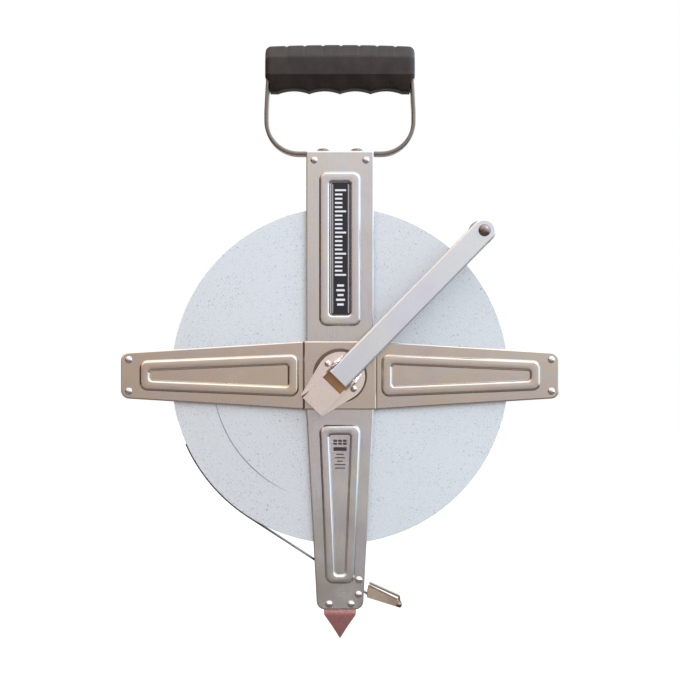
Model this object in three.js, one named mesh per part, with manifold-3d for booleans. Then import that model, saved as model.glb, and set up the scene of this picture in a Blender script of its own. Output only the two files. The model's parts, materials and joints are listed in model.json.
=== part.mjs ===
// Surveyor's open tape reel: a wound steel tape on a drum between two cross-shaped pressed frames,
// with a strap handle, a fold-over winding crank, a ground spike and a hook on the tape's end.
//
// Millimetres, +Z up, the front faces -Y. The pieces are laid out round the drum's axis, and the
// finished assembly is lowered so that the origin lies at the centre of the grip.
//
// Flat pieces are drawn in face coordinates: u to the right, v up and w out of the face, with w = 0
// in the middle plane of the tape. The rear face uses the same coordinates, seen from behind.

import * as THREE from 'three';
import { mergeVertices } from 'three/addons/utils/BufferGeometryUtils.js';
import Module from 'manifold-3d';

const wasm = await Module();
wasm.setup();

// Driving dimensions
const GAP = 0.3; // left between pieces that touch on the real reel
const RUN = 0.12; // running clearance of a round fit

const TAPE_WIDTH = 13;
const ROLL_RADIUS = 127.5;
const DRUM_RADIUS = 35;
const DRUM_FLANGE = 1.5;

const SHEET = 1.2; // frame plates
const PLATE_INNER = 9; // inner face of the frame plates, from the middle plane
const PLATE_OUTER = PLATE_INNER + SHEET;
const CROSS_INNER = PLATE_OUTER + GAP; // where the cross plate steps over the upright
const CROSS_OUTER = CROSS_INNER + SHEET;
const RIDGE = 1.8; // height of the pressed ridges

const UPRIGHT_TOP = 169.7;
const UPRIGHT_BOTTOM = -177;
const UPRIGHT_HALF = 25.5;
const UPRIGHT_FOOT_HALF = 17.4;
const CROSS_REACH = 165.6;
const CROSS_ROOT_HALF = 25.8;
const CROSS_END_HALF = 17.2;
const CORNER = 6.4;
const JOGGLE_START = 26.4;
const JOGGLE_END = 27.8;

const BOSS_RADIUS = 16.5;
const BOSS_REACH = 13.6;
const BUSH_OUTER = 18.2;
const BUSH_LIP = 20.5;
const BUSH_LIP_THICKNESS = 1;

const RIVET_SHANK = 1.6;
const RIVET_HEAD = 3;
const RIVET_HEAD_HEIGHT = 1.7;
const SIDE_RIVET = { u: 159.7, v: 11.9 };
const TOP_RIVET = { u: 19.6, v: 162.9 };
const FOOT_RIVET = { u: 8.3, v: -172.8 };
const GUIDE_RIVETS = [
  { name: 'upper', u: 14.2, v: -154.5 },
  { name: 'lower', u: 13.8, v: -165.5 },
];
const ROLLER_RADIUS = 2.6;

const SPIKE_HALF = 12.1;
const SPIKE_SHOULDER = -179.5;
const SPIKE_TIP = -199.8;

const CRANK_ANGLE = THREE.MathUtils.degToRad(45.5);
const CRANK_OFFSET = -0.7; // of the crank's middle line from the drum's axis
const BRACKET_SHEET = 1.3;
const BRACKET_INNER = 9.1;
const BRACKET_OUTER = BRACKET_INNER + BRACKET_SHEET;
const BRACKET_BASE = BOSS_REACH + GAP;
const BRACKET_FACE = BRACKET_BASE + BRACKET_SHEET;
const BRACKET_WEB = 22.5; // outer face of the raised web
const BRACKET_DISC = 18.4;
const BRACKET_END = -31.3;
const BRACKET_TIP_HALF = 11.3;
const HUB_RIVET_OFFSET = 13.6;
const HUB_RIVET_SHANK = 1.4;

const PIN_S = 4;
const PIN_W = 26.8;
const PIN_RADIUS = 2;
const ARM_FACE = 2 * PIN_W - BRACKET_WEB - GAP; // folded over, this face rests on the web
const ARM_SHEET = 1.5;
const ARM_WALL = 1.3;
const ARM_DEPTH = 6;
const ARM_TAIL = -2.9;
const ARM_TAIL_HALF = 8.8;
const ARM_END_HALF = 8.7;
const KNOB_S = 153.1;
const KNOB_NECK = 8.3; // radius near the arm
const KNOB_END = 9.7; // radius near the free end
const KNOB_LENGTH = 38;
const SPINDLE_RADIUS = 3;

const STRAP = 3;
const STRAP_WIDTH = 17;
const STRAP_TOP = 169.6;
const STRAP_HALF = 55.8;
const STRAP_NECK_HALF = 54.8; // where the strap goes into the grip
const STRAP_TURN_HALF = 53.4; // where it bends inwards inside the grip
const STRAP_END = 32;
const GRIP_AXIS = 232.4;
const GRIP_HALF = 56.6;
const GRIP_TOP = 250.3;
const GRIP_BOTTOM = 214.5;
const GRIP_LIP = 224.5; // bottom of the grip outside the strap
const GRIP_LEG_INNER = 52.6; // its lower end is cut back to here, inside the strap
const GRIP_DEPTH = 32;
const HANDLE_SCREW_U = 12.8;
const HANDLE_HOLE = 2.3; // clearance radius round each handle screw

const TAPE_THICKNESS = 0.6;
const HOOK_EYE = { u: 44.5, v: -173.6 };
const HOOK_PIN_RADIUS = 1.2;
const HOOK_INNER = TAPE_WIDTH / 2 + GAP;
const HOOK_CHEEK = 1;
const HOOK_FLOOR = [[20.5, -167.7], [38.3, -173.2]]; // middle of the folded body's floor

// Materials
function paint(color, roughness, metalness) {
  return new THREE.MeshStandardMaterial({ color, roughness, metalness });
}
const STAINLESS = paint(0xb9ab9c, 0.35, 1);
const BRIGHT = paint(0xc9c7c8, 0.2, 1);
const PALE_STEEL = paint(0xcbc8ce, 0.4, 0.9);
const NYLON = paint(0xd8d4c8, 0.5, 0);
const ALUMINIUM = paint(0xa8a8aa, 0.4, 1);
const COATED_TAPE = paint(0xd5e2e8, 0.45, 0.1);
const BLACK_GRIP = paint(0x2a2524, 0.6, 0);
const BLACK_KNOB = paint(0x151515, 0.35, 0);
const LABEL = paint(0x17181a, 0.35, 0);

// Outlines
function corner([x, y]) {
  return new THREE.Vector2(x, y);
}

// The points of a polygon or open line whose corners [x, y, radius] are rounded by arcs.
function rounded(corners, closed = true, steps = 4) {
  const points = [];
  corners.forEach((entry, index) => {
    const at = corner(entry);
    const radius = entry[2] ?? 0;
    const isEnd = !closed && (index === 0 || index === corners.length - 1);
    if (radius === 0 || isEnd) {
      points.push(at);
      return;
    }
    const before = corner(corners.at(index - 1)).sub(at).normalize();
    const after = corner(corners[(index + 1) % corners.length]).sub(at).normalize();
    const half = Math.acos(THREE.MathUtils.clamp(before.dot(after), -1, 1)) / 2;
    const middle = before.clone().add(after).normalize();
    const centre = middle.multiplyScalar(radius / Math.sin(half)).add(at);
    const start = before.multiplyScalar(radius / Math.tan(half)).add(at).sub(centre);
    const finish = after.multiplyScalar(radius / Math.tan(half)).add(at).sub(centre);
    const turn = Math.atan2(start.cross(finish), start.dot(finish));
    for (let step = 0; step <= steps; step += 1) {
      const spoke = start.clone().rotateAround(new THREE.Vector2(), (turn * step) / steps);
      points.push(spoke.add(centre));
    }
  });
  return points;
}

// The outline of a strip of even thickness that follows a line.
function ribbon(line, thickness) {
  const left = [];
  const right = [];
  line.forEach((point, index) => {
    const back = line[Math.max(index - 1, 0)];
    const ahead = line[Math.min(index + 1, line.length - 1)];
    const incoming = point.clone().sub(back).normalize();
    const outgoing = ahead.clone().sub(point).normalize();
    const along = incoming.clone().add(outgoing).normalize();
    const widen = 1 / Math.sqrt((1 + (index > 0 && ahead !== point ? incoming.dot(outgoing) : 1)) / 2);
    const offset = new THREE.Vector2(-along.y, along.x).multiplyScalar((thickness / 2) * widen);
    left.push(point.clone().add(offset));
    right.push(point.clone().sub(offset));
  });
  return new THREE.Shape([...left, ...right.reverse()]);
}

function circle(u, v, radius, segments = 20) {
  const points = [];
  for (let step = 0; step < segments; step += 1) {
    const angle = ((step + 0.5) / segments) * 2 * Math.PI;
    points.push(new THREE.Vector2(u + radius * Math.cos(angle), v + radius * Math.sin(angle)));
  }
  return points;
}

// Solids
function slab(points, low, high) {
  const shape = points instanceof THREE.Shape ? points : new THREE.Shape(points);
  const geometry = new THREE.ExtrudeGeometry(shape, { depth: high - low, bevelEnabled: false });
  return geometry.translate(0, 0, low);
}

// A turned piece about the w axis; the profile [radius, w] runs anticlockwise.
function turned(profile, segments = 24) {
  return new THREE.LatheGeometry(profile.map(corner), segments).rotateX(Math.PI / 2);
}

function box(u0, u1, v0, v1, w0, w1) {
  const geometry = new THREE.BoxGeometry(u1 - u0, v1 - v0, w1 - w0);
  return geometry.translate((u0 + u1) / 2, (v0 + v1) / 2, (w0 + w1) / 2);
}

// A slab drawn in the u-w plane and extruded along v from low to high.
function crossSlab(points, low, high) {
  return slab(points, low, high).rotateX(Math.PI / 2).translate(0, low + high, 0);
}

function solid(geometry) {
  const bare = geometry.clone();
  bare.deleteAttribute('normal');
  bare.deleteAttribute('uv');
  const merged = mergeVertices(bare, 1e-4);
  const kept = [];
  const index = merged.index.array;
  for (let i = 0; i < index.length; i += 3) {
    const [a, b, c] = index.slice(i, i + 3);
    if (a !== b && b !== c && c !== a) {
      kept.push(a, b, c);
    }
  }
  const vertProperties = Float32Array.from(merged.attributes.position.array);
  return new wasm.Manifold(new wasm.Mesh({ numProp: 3, vertProperties, triVerts: Uint32Array.from(kept) }));
}

function surface(manifold) {
  const mesh = manifold.getMesh();
  const geometry = new THREE.BufferGeometry();
  geometry.setAttribute('position', new THREE.BufferAttribute(mesh.vertProperties, 3));
  geometry.setIndex(new THREE.BufferAttribute(mesh.triVerts, 1));
  return geometry;
}

function cut(body, ...tools) {
  return tools.reduce((left, tool) => left.subtract(solid(tool)), body);
}

function join(...geometries) {
  return geometries.map(solid).reduce((sum, next) => sum.add(next));
}

// Scene graph: one group for each face, and one along the crank
const assembly = new THREE.Group();
const front = new THREE.Group();
const rear = new THREE.Group();
const rearTurn = new THREE.Group();
const crank = new THREE.Group();
assembly.position.z = -GRIP_AXIS;
front.rotation.x = Math.PI / 2;
rear.rotation.x = Math.PI / 2;
rearTurn.rotation.z = Math.PI;
crank.rotation.z = CRANK_ANGLE;
crank.position.set(-CRANK_OFFSET * Math.sin(CRANK_ANGLE), CRANK_OFFSET * Math.cos(CRANK_ANGLE), 0);
assembly.add(front, rearTurn);
rearTurn.add(rear);
front.add(crank);

function place(group, name, shape, material, u = 0, v = 0) {
  const geometry = shape instanceof THREE.BufferGeometry ? shape : surface(shape);
  const mesh = new THREE.Mesh(geometry, material);
  mesh.name = name;
  mesh.position.set(u, v, 0);
  group.add(mesh);
}

// Frame plates
const UPRIGHT_OUTLINE = rounded([
  [-UPRIGHT_HALF, UPRIGHT_TOP],
  [-UPRIGHT_HALF, -26],
  [-UPRIGHT_FOOT_HALF, UPRIGHT_BOTTOM, CORNER],
  [UPRIGHT_FOOT_HALF, UPRIGHT_BOTTOM, CORNER],
  [UPRIGHT_HALF, -26],
  [UPRIGHT_HALF, UPRIGHT_TOP],
]);
const CROSS_OUTLINE = rounded([
  [-CROSS_REACH, -CROSS_END_HALF, CORNER],
  [-JOGGLE_START, -CROSS_ROOT_HALF],
  [JOGGLE_START, -CROSS_ROOT_HALF],
  [CROSS_REACH, -CROSS_END_HALF, CORNER],
  [CROSS_REACH, CROSS_END_HALF, CORNER],
  [JOGGLE_START, CROSS_ROOT_HALF],
  [-JOGGLE_START, CROSS_ROOT_HALF],
  [-CROSS_REACH, CROSS_END_HALF, CORNER],
]);

// A pressed ridge round a sunk panel: outer and inner four-sided outlines along v,
// each given as [half width at the first end, first v, half width at the second end, second v].
function fourSided([half0, v0, half1, v1], radius) {
  const corners = [[-half0, v0, radius], [half0, v0, radius], [half1, v1, radius], [-half1, v1, radius]];
  return rounded(corners, true, 3);
}

function ridge(outer, inner) {
  const ring = new THREE.Shape(fourSided(outer, 5));
  ring.holes.push(new THREE.Path(fourSided(inner, 3.5)));
  return slab(ring, PLATE_INNER + SHEET / 2, PLATE_OUTER + RIDGE);
}
const TOP_RIDGE = () => ridge([15.3, 37.8, 15.3, 153.6], [8.9, 44.2, 8.9, 147.6]);
const FOOT_RIDGE = () => ridge([10.3, -156.8, 15.3, -37.9], [5, -152.4, 9.6, -42.9]);
const ARM_RIDGE = () => ridge([10.8, -151, 15.8, -31.7], [5, -145.3, 9.7, -37.5]);

function uprightPlate(guideSide) {
  const plate = join(slab(UPRIGHT_OUTLINE, PLATE_INNER, PLATE_OUTER), TOP_RIDGE(), FOOT_RIDGE());
  const holes = [slab(circle(0, 0, BUSH_OUTER + GAP, 32), 0, 20)];
  for (const { u, v } of [TOP_RIVET, FOOT_RIVET]) {
    holes.push(rivetHole(u, v), rivetHole(-u, v));
  }
  for (const { u, v } of GUIDE_RIVETS) {
    holes.push(rivetHole(guideSide * u, v));
  }
  return cut(plate, ...holes);
}

function crossPlate() {
  const middle = (CROSS_INNER + CROSS_OUTER) / 2;
  const level = (PLATE_INNER + PLATE_OUTER) / 2;
  const line = [
    [-CROSS_REACH, level],
    [-JOGGLE_END, level],
    [-JOGGLE_START, middle],
    [JOGGLE_START, middle],
    [JOGGLE_END, level],
    [CROSS_REACH, level],
  ].map(corner);
  const stepped = solid(crossSlab(ribbon(line, SHEET), -CROSS_ROOT_HALF - 1, CROSS_ROOT_HALF + 1));
  const plate = stepped.intersect(solid(slab(CROSS_OUTLINE, 0, 20)));
  const ridges = [-1, 1].map((side) => solid(ARM_RIDGE().rotateZ((side * Math.PI) / 2)));
  const holes = [slab(circle(0, 0, BUSH_OUTER + GAP, 32), 0, 20)];
  for (const side of [-1, 1]) {
    holes.push(rivetHole(side * SIDE_RIVET.u, SIDE_RIVET.v), rivetHole(side * SIDE_RIVET.u, -SIDE_RIVET.v));
  }
  return cut(plate.add(ridges[0]).add(ridges[1]), ...holes);
}

function rivetHole(u, v, radius = RIVET_SHANK + GAP) {
  return slab(circle(u, v, radius, 12), 0, 20);
}

place(front, 'front_upright_plate', uprightPlate(1), STAINLESS);
place(front, 'front_cross_plate', crossPlate(), STAINLESS);
place(rear, 'rear_upright_plate', uprightPlate(-1), STAINLESS);
place(rear, 'rear_cross_plate', crossPlate(), STAINLESS);

const labelOutline = rounded([[-6.5, 46, 1], [7.3, 46, 1], [7.3, 145.8, 1], [-6.5, 145.8, 1]], true, 2);
place(front, 'front_label', slab(labelOutline, PLATE_OUTER + GAP, PLATE_OUTER + 2 * GAP), LABEL);

// Bearing bushes in both frames
function bush() {
  const bore = BOSS_RADIUS + RUN;
  const lip = CROSS_OUTER + GAP;
  return turned([
    [bore, PLATE_INNER - GAP],
    [BUSH_OUTER, PLATE_INNER - GAP],
    [BUSH_OUTER, lip],
    [BUSH_LIP, lip],
    [BUSH_LIP, lip + BUSH_LIP_THICKNESS],
    [bore, lip + BUSH_LIP_THICKNESS],
    [bore, PLATE_INNER - GAP],
  ], 32);
}
place(front, 'front_bush', bush(), NYLON);
place(rear, 'rear_bush', bush(), NYLON);

// Rivets through both frames, with a domed head on each side
function dome(radius, height, base, steps = 2) {
  const points = [];
  for (let step = 0; step <= steps; step += 1) {
    const angle = (step / steps) * (Math.PI / 2);
    const across = step === steps ? 0 : radius * Math.cos(angle);
    points.push([across, base + height * Math.sin(angle)]);
  }
  return points;
}

function doubleRivet(shank, head, height, seatFront, seatRear, segments = 10) {
  const upper = dome(head, height, seatFront);
  const lower = dome(head, height, seatRear).map(([r, w]) => [r, -w]).reverse();
  return turned([...lower, [shank, -seatRear], [shank, seatFront], ...upper], segments);
}

function frameRivet(name, u, v) {
  const seat = PLATE_OUTER + GAP;
  place(front, name, doubleRivet(RIVET_SHANK, RIVET_HEAD, RIVET_HEAD_HEIGHT, seat, seat), BRIGHT, u, v);
}

function sleeve(outer, bore, reach, segments) {
  return turned([[bore, -reach], [outer, -reach], [outer, reach], [bore, reach], [bore, -reach]], segments);
}

for (const [side, sign] of [['left', -1], ['right', 1]]) {
  for (const [level, up] of [['upper', 1], ['lower', -1]]) {
    const { u, v } = SIDE_RIVET;
    frameRivet(`${side}_${level}_rivet`, sign * u, up * v);
    const tube = sleeve(3.6, RIVET_SHANK + GAP, PLATE_INNER - GAP, 16);
    place(front, `${side}_${level}_spacer`, tube, ALUMINIUM, sign * u, up * v);
  }
  frameRivet(`top_${side}_rivet`, sign * TOP_RIVET.u, TOP_RIVET.v);
  frameRivet(`foot_${side}_rivet`, sign * FOOT_RIVET.u, FOOT_RIVET.v);
}

// Guide rollers on their own rivets, with the tape between them
for (const { name, u, v } of GUIDE_RIVETS) {
  frameRivet(`${name}_guide_rivet`, u, v);
  const roller = sleeve(ROLLER_RADIUS, RIVET_SHANK + RUN, PLATE_INNER - GAP, 20);
  place(front, `${name}_guide_roller`, roller, NYLON, u, v);
}

// Top spacer block under the handle strap
const spacerReach = PLATE_INNER - GAP;
const spacerTop = STRAP_TOP - STRAP - GAP;
const spacerBottom = spacerTop - 11;
const screwHoles = [-1, 1].map((side) => {
  const hole = circle(side * HANDLE_SCREW_U, 0, HANDLE_HOLE, 12);
  return crossSlab(hole, spacerBottom - 1, spacerTop + 1);
});
const topSpacer = cut(
  solid(box(-24, 24, spacerBottom, spacerTop, -spacerReach, spacerReach)),
  ...screwHoles,
  rivetHole(TOP_RIVET.u, TOP_RIVET.v).translate(0, 0, -10),
  rivetHole(-TOP_RIVET.u, TOP_RIVET.v).translate(0, 0, -10),
);
place(front, 'top_spacer', topSpacer, ALUMINIUM);

// Ground spike: a block between the plates that comes to a four-sided point below them
function spike() {
  const top = SPIKE_SHOULDER + 9.4;
  const block = box(-SPIKE_HALF, SPIKE_HALF, SPIKE_SHOULDER - 0.1, top, -spacerReach, spacerReach);
  const point = new THREE.CylinderGeometry(Math.SQRT1_2, 0, 1, 4, 1).rotateY(Math.PI / 4);
  point.scale(2 * SPIKE_HALF, SPIKE_SHOULDER - SPIKE_TIP, 2 * spacerReach);
  point.translate(0, (SPIKE_SHOULDER + SPIKE_TIP) / 2, 0);
  return cut(
    join(block, point),
    rivetHole(FOOT_RIVET.u, FOOT_RIVET.v).translate(0, 0, -10),
    rivetHole(-FOOT_RIVET.u, FOOT_RIVET.v).translate(0, 0, -10),
  );
}
place(front, 'ground_spike', spike(), BRIGHT);

// Drum with the wound tape
function drum() {
  const half = TAPE_WIDTH / 2 + GAP;
  const edge = half + DRUM_FLANGE - 0.5;
  const body = turned([
    [0, -BOSS_REACH],
    [BOSS_RADIUS, -BOSS_REACH],
    [BOSS_RADIUS, -edge],
    [DRUM_RADIUS + DRUM_FLANGE, -edge],
    [DRUM_RADIUS + DRUM_FLANGE, -half],
    [DRUM_RADIUS, -half],
    [DRUM_RADIUS, half],
    [DRUM_RADIUS + DRUM_FLANGE, half],
    [DRUM_RADIUS + DRUM_FLANGE, edge],
    [BOSS_RADIUS, edge],
    [BOSS_RADIUS, BOSS_REACH],
    [0, BOSS_REACH],
  ], 32);
  const holes = [-1, 1].map((side) => {
    const hole = circle(0, CRANK_OFFSET + side * HUB_RIVET_OFFSET, HUB_RIVET_SHANK + GAP, 12);
    return slab(hole, -20, 20).rotateZ(CRANK_ANGLE);
  });
  return cut(solid(body), ...holes);
}
place(front, 'hub_drum', drum(), ALUMINIUM);

const woundTape = turned([
  [DRUM_RADIUS + GAP, -TAPE_WIDTH / 2],
  [ROLL_RADIUS, -TAPE_WIDTH / 2],
  [ROLL_RADIUS, TAPE_WIDTH / 2],
  [DRUM_RADIUS + GAP, TAPE_WIDTH / 2],
  [DRUM_RADIUS + GAP, -TAPE_WIDTH / 2],
], 80);
place(front, 'wound_tape', woundTape, COATED_TAPE);

const retainerFace = -BRACKET_BASE;
const retainer = cut(
  solid(slab(circle(0, -CRANK_OFFSET, BRACKET_DISC, 32), retainerFace - BRACKET_SHEET, retainerFace)),
  ...[-1, 1].map((side) => rivetHole(0, side * HUB_RIVET_OFFSET, HUB_RIVET_SHANK + GAP).translate(0, 0, -25)),
);
place(crank, 'rear_retainer', retainer, STAINLESS);

for (const [name, side] of [['upper', 1], ['lower', -1]]) {
  const seat = BRACKET_FACE + GAP;
  const rivet = doubleRivet(HUB_RIVET_SHANK, 2.6, 1.8, seat, seat);
  place(crank, `${name}_hub_rivet`, rivet, BRIGHT, 0, side * HUB_RIVET_OFFSET);
}

// Crank bracket: u runs along the crank from here on, and v across it
function bracket() {
  const reach = Math.hypot(BRACKET_END, BRACKET_TIP_HALF);
  const tangent = Math.atan2(BRACKET_TIP_HALF, BRACKET_END) - Math.acos(BRACKET_DISC / reach);
  const outline = [[BRACKET_END, -BRACKET_TIP_HALF]].map(corner);
  for (let step = 0; step <= 16; step += 1) {
    const angle = -tangent + (2 * tangent * step) / 16;
    outline.push(new THREE.Vector2(BRACKET_DISC * Math.cos(angle), BRACKET_DISC * Math.sin(angle)));
  }
  outline.push(corner([BRACKET_END, BRACKET_TIP_HALF]));
  const earEnd = 12;
  const earTop = 4.2;
  const side = rounded([
    [BRACKET_END, BRACKET_BASE],
    [earEnd, BRACKET_BASE],
    [earEnd, PIN_W - 8],
    [PIN_S + earTop + 0.8, PIN_W + earTop, earTop],
    [PIN_S - earTop - 0.8, PIN_W + earTop, earTop],
    [PIN_S - earTop - 4, BRACKET_WEB],
    [BRACKET_END, BRACKET_WEB],
  ]);
  const openStart = BRACKET_END - 1;
  const openEnd = earEnd + GAP;
  const webEnd = -9.9;
  const base = cut(
    solid(slab(outline, BRACKET_BASE, BRACKET_FACE)),
    box(openStart, openEnd, -BRACKET_INNER, BRACKET_INNER, 0, 40),
  );
  const webInner = BRACKET_WEB - BRACKET_SHEET;
  const web = box(BRACKET_END, webEnd, -BRACKET_OUTER, BRACKET_OUTER, webInner, BRACKET_WEB);
  const walls = join(
    crossSlab(side, BRACKET_INNER, BRACKET_OUTER),
    crossSlab(side, -BRACKET_OUTER, -BRACKET_INNER),
    web,
  );
  const pinHole = slab(circle(PIN_S, PIN_W, PIN_RADIUS + 0.15, 16), -20, 20).rotateX(Math.PI / 2);
  return cut(
    base.add(walls),
    pinHole,
    rivetHole(0, HUB_RIVET_OFFSET, HUB_RIVET_SHANK + GAP),
    rivetHole(0, -HUB_RIVET_OFFSET, HUB_RIVET_SHANK + GAP),
  );
}
place(crank, 'crank_bracket', bracket(), STAINLESS);

const pinSeat = BRACKET_OUTER + GAP;
const hingePin = doubleRivet(PIN_RADIUS, 2.9, 1, pinSeat, pinSeat, 12)
  .rotateX(Math.PI / 2)
  .translate(PIN_S, 0, PIN_W);
place(crank, 'crank_hinge_pin', hingePin, BRIGHT);

// Crank arm: a channel with its flat face outwards, square at the tail and round at the knob
function armOutline(inset, tail) {
  const half = ARM_END_HALF - inset;
  const points = [[tail, ARM_TAIL_HALF - inset], [tail, -(ARM_TAIL_HALF - inset)]].map(corner);
  const steps = 8;
  for (let step = 0; step <= steps; step += 1) {
    const angle = -Math.PI / 2 + (Math.PI * step) / steps;
    points.push(new THREE.Vector2(KNOB_S + half * Math.cos(angle), half * Math.sin(angle)));
  }
  return points;
}

function crankArm() {
  const lobe = 3.2;
  const back = PIN_W - lobe;
  const shell = cut(
    solid(slab(armOutline(0, ARM_TAIL), back, ARM_FACE)),
    slab(armOutline(ARM_WALL, ARM_TAIL - 1), back - 1, ARM_FACE - ARM_SHEET),
  );
  const lobeEnd = PIN_S + 6;
  return cut(
    shell,
    box(lobeEnd, KNOB_S + 20, -20, 20, back - 1, ARM_FACE - ARM_DEPTH),
    slab(circle(PIN_S, PIN_W, PIN_RADIUS + RUN, 16), -20, 20).rotateX(Math.PI / 2),
    slab(circle(KNOB_S, 0, SPINDLE_RADIUS + GAP, 16), 0, 40),
  );
}
place(crank, 'crank_arm', crankArm(), PALE_STEEL);

// Knob, its washer and the spindle that holds both to the arm
const washerTop = ARM_FACE - ARM_SHEET - GAP;
const washerBottom = ARM_FACE - ARM_DEPTH - 0.5;
const washer = turned([
  [SPINDLE_RADIUS + GAP, washerBottom],
  [6, washerBottom],
  [6, washerTop],
  [SPINDLE_RADIUS + GAP, washerTop],
  [SPINDLE_RADIUS + GAP, washerBottom],
], 20);
place(crank, 'knob_washer', washer, BRIGHT, KNOB_S);

const knobTop = washerBottom - GAP;
const knobBottom = knobTop - KNOB_LENGTH;
const recess = 4;
const knobBore = SPINDLE_RADIUS + RUN;
const knob = turned([
  [knobBore, knobBottom + recess],
  [6, knobBottom + recess],
  [6, knobBottom],
  [KNOB_END - 2, knobBottom],
  [KNOB_END - 0.5, knobBottom + 1],
  [KNOB_END, knobBottom + 3],
  [KNOB_END, knobBottom + 8],
  [KNOB_NECK, knobTop - 16],
  [KNOB_NECK, knobTop - 2],
  [KNOB_NECK - 0.9, knobTop],
  [knobBore, knobTop],
  [knobBore, knobBottom + recess],
], 20);
place(crank, 'crank_knob', knob, BLACK_KNOB, KNOB_S);

const spindleEnd = knobBottom + recess - GAP;
const spindle = turned([
  [0, spindleEnd - 2],
  [3.6, spindleEnd - 2],
  [4.6, spindleEnd],
  [SPINDLE_RADIUS, spindleEnd],
  [SPINDLE_RADIUS, ARM_FACE + GAP],
  ...dome(4.55, 2.4, ARM_FACE + GAP),
], 16);
place(crank, 'knob_spindle', spindle, BRIGHT, KNOB_S);

// Handle strap: its ends bend in and are moulded into the grip
const STRAP_END_LEVEL = GRIP_AXIS + 4;
const strapSide = [
  [STRAP_END, STRAP_END_LEVEL],
  [STRAP_TURN_HALF, STRAP_END_LEVEL, 6],
  [STRAP_NECK_HALF, 220, 20],
  [STRAP_HALF, 200, 30],
  [STRAP_HALF, STRAP_TOP - STRAP / 2, 24.5],
];
const mirroredSide = strapSide.map(([u, v, radius]) => [-u, v, radius]);
const strapLine = rounded([...mirroredSide, ...[...strapSide].reverse()], false, 5);
const strapHoles = [-1, 1].map((side) => (
  crossSlab(circle(side * HANDLE_SCREW_U, 0, HANDLE_HOLE, 12), 160, 175)
));
const strap = cut(solid(slab(ribbon(strapLine, STRAP), -STRAP_WIDTH / 2, STRAP_WIDTH / 2)), ...strapHoles);
place(front, 'handle_strap', strap, STAINLESS);

// Grip: finger scallops below, shallow notches above, an oval section and cut-back lower ends
function grip() {
  const scallops = 4;
  const pitch = 23.5;
  const depth = 2.2;
  const start = (-scallops * pitch) / 2;
  const steps = 6;
  const below = [];
  for (let step = 0; step <= scallops * steps; step += 1) {
    const rise = depth * Math.abs(Math.sin((Math.PI * step) / steps));
    below.push(new THREE.Vector2(start + (pitch * step) / steps, GRIP_BOTTOM + rise));
  }
  const outline = [
    ...[[-GRIP_LEG_INNER, GRIP_LIP], [-GRIP_LEG_INNER, GRIP_BOTTOM]].map(corner),
    ...below,
    ...[[GRIP_LEG_INNER, GRIP_BOTTOM], [GRIP_LEG_INNER, GRIP_LIP]].map(corner),
    ...rounded([
      [GRIP_HALF, GRIP_LIP],
      [GRIP_HALF, GRIP_TOP - 1, 5],
      [0, GRIP_TOP + 0.2, 0],
      [-GRIP_HALF, GRIP_TOP - 1, 5],
      [-GRIP_HALF, GRIP_LIP],
    ], false, 4),
  ];
  const section = [];
  const ring = 24;
  for (let step = 0; step < ring; step += 1) {
    const angle = (2 * Math.PI * (step + 0.5)) / ring;
    const squarish = (value) => Math.sign(value) * Math.abs(value) ** 0.8;
    const w = (GRIP_DEPTH / 2) * squarish(Math.cos(angle));
    const v = ((GRIP_TOP - GRIP_BOTTOM) / 2 + 0.4) * squarish(Math.sin(angle));
    section.push(new THREE.Vector2(w, v));
  }
  const oval = slab(section, -GRIP_HALF, GRIP_HALF).rotateY(Math.PI / 2);
  oval.translate(0, (GRIP_TOP + GRIP_BOTTOM) / 2, 0);
  const side = slab(outline, -GRIP_DEPTH, GRIP_DEPTH);
  const pocketReach = STRAP_WIDTH / 2 + GAP;
  const pocket = slab(ribbon(strapLine, STRAP + 2 * GAP), -pocketReach, pocketReach);
  const ends = [-1, 1].map((end) => {
    const u = end * (STRAP_END - GAP / 2);
    const [low, high] = [STRAP_END_LEVEL - STRAP / 2 - GAP, STRAP_END_LEVEL + STRAP / 2 + GAP];
    return box(u - GAP, u + GAP, low, high, -pocketReach, pocketReach);
  });
  return cut(solid(side).intersect(solid(oval)), pocket, ...ends);
}
place(front, 'handle_grip', grip(), BLACK_GRIP);

// Handle screws, with washers above the strap and nuts under the spacer
function pierced(radius, low, high, segments) {
  return turned([
    [HANDLE_HOLE, low],
    [radius, low],
    [radius, high],
    [HANDLE_HOLE, high],
    [HANDLE_HOLE, low],
  ], segments);
}

for (const [side, sign] of [['left', -1], ['right', 1]]) {
  const u = sign * HANDLE_SCREW_U;
  const washerLow = STRAP_TOP + GAP;
  const washerHigh = washerLow + 0.8;
  const headSeat = washerHigh + GAP;
  const nutHigh = spacerBottom - GAP;
  const screwLow = nutHigh - 4.5;
  const screw = turned([[0, screwLow], [2, screwLow], [2, headSeat], ...dome(4.3, 1.8, headSeat)], 16);
  const ring = pierced(6.4, washerLow, washerHigh, 16);
  const nut = pierced(4, nutHigh - 3.2, nutHigh, 6);
  const upright = (geometry) => geometry.rotateX(-Math.PI / 2);
  place(front, `handle_${side}_screw`, upright(screw), BRIGHT, u);
  place(front, `handle_${side}_washer`, upright(ring), BRIGHT, u);
  place(front, `handle_${side}_nut`, upright(nut), BRIGHT, u);
}

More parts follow.
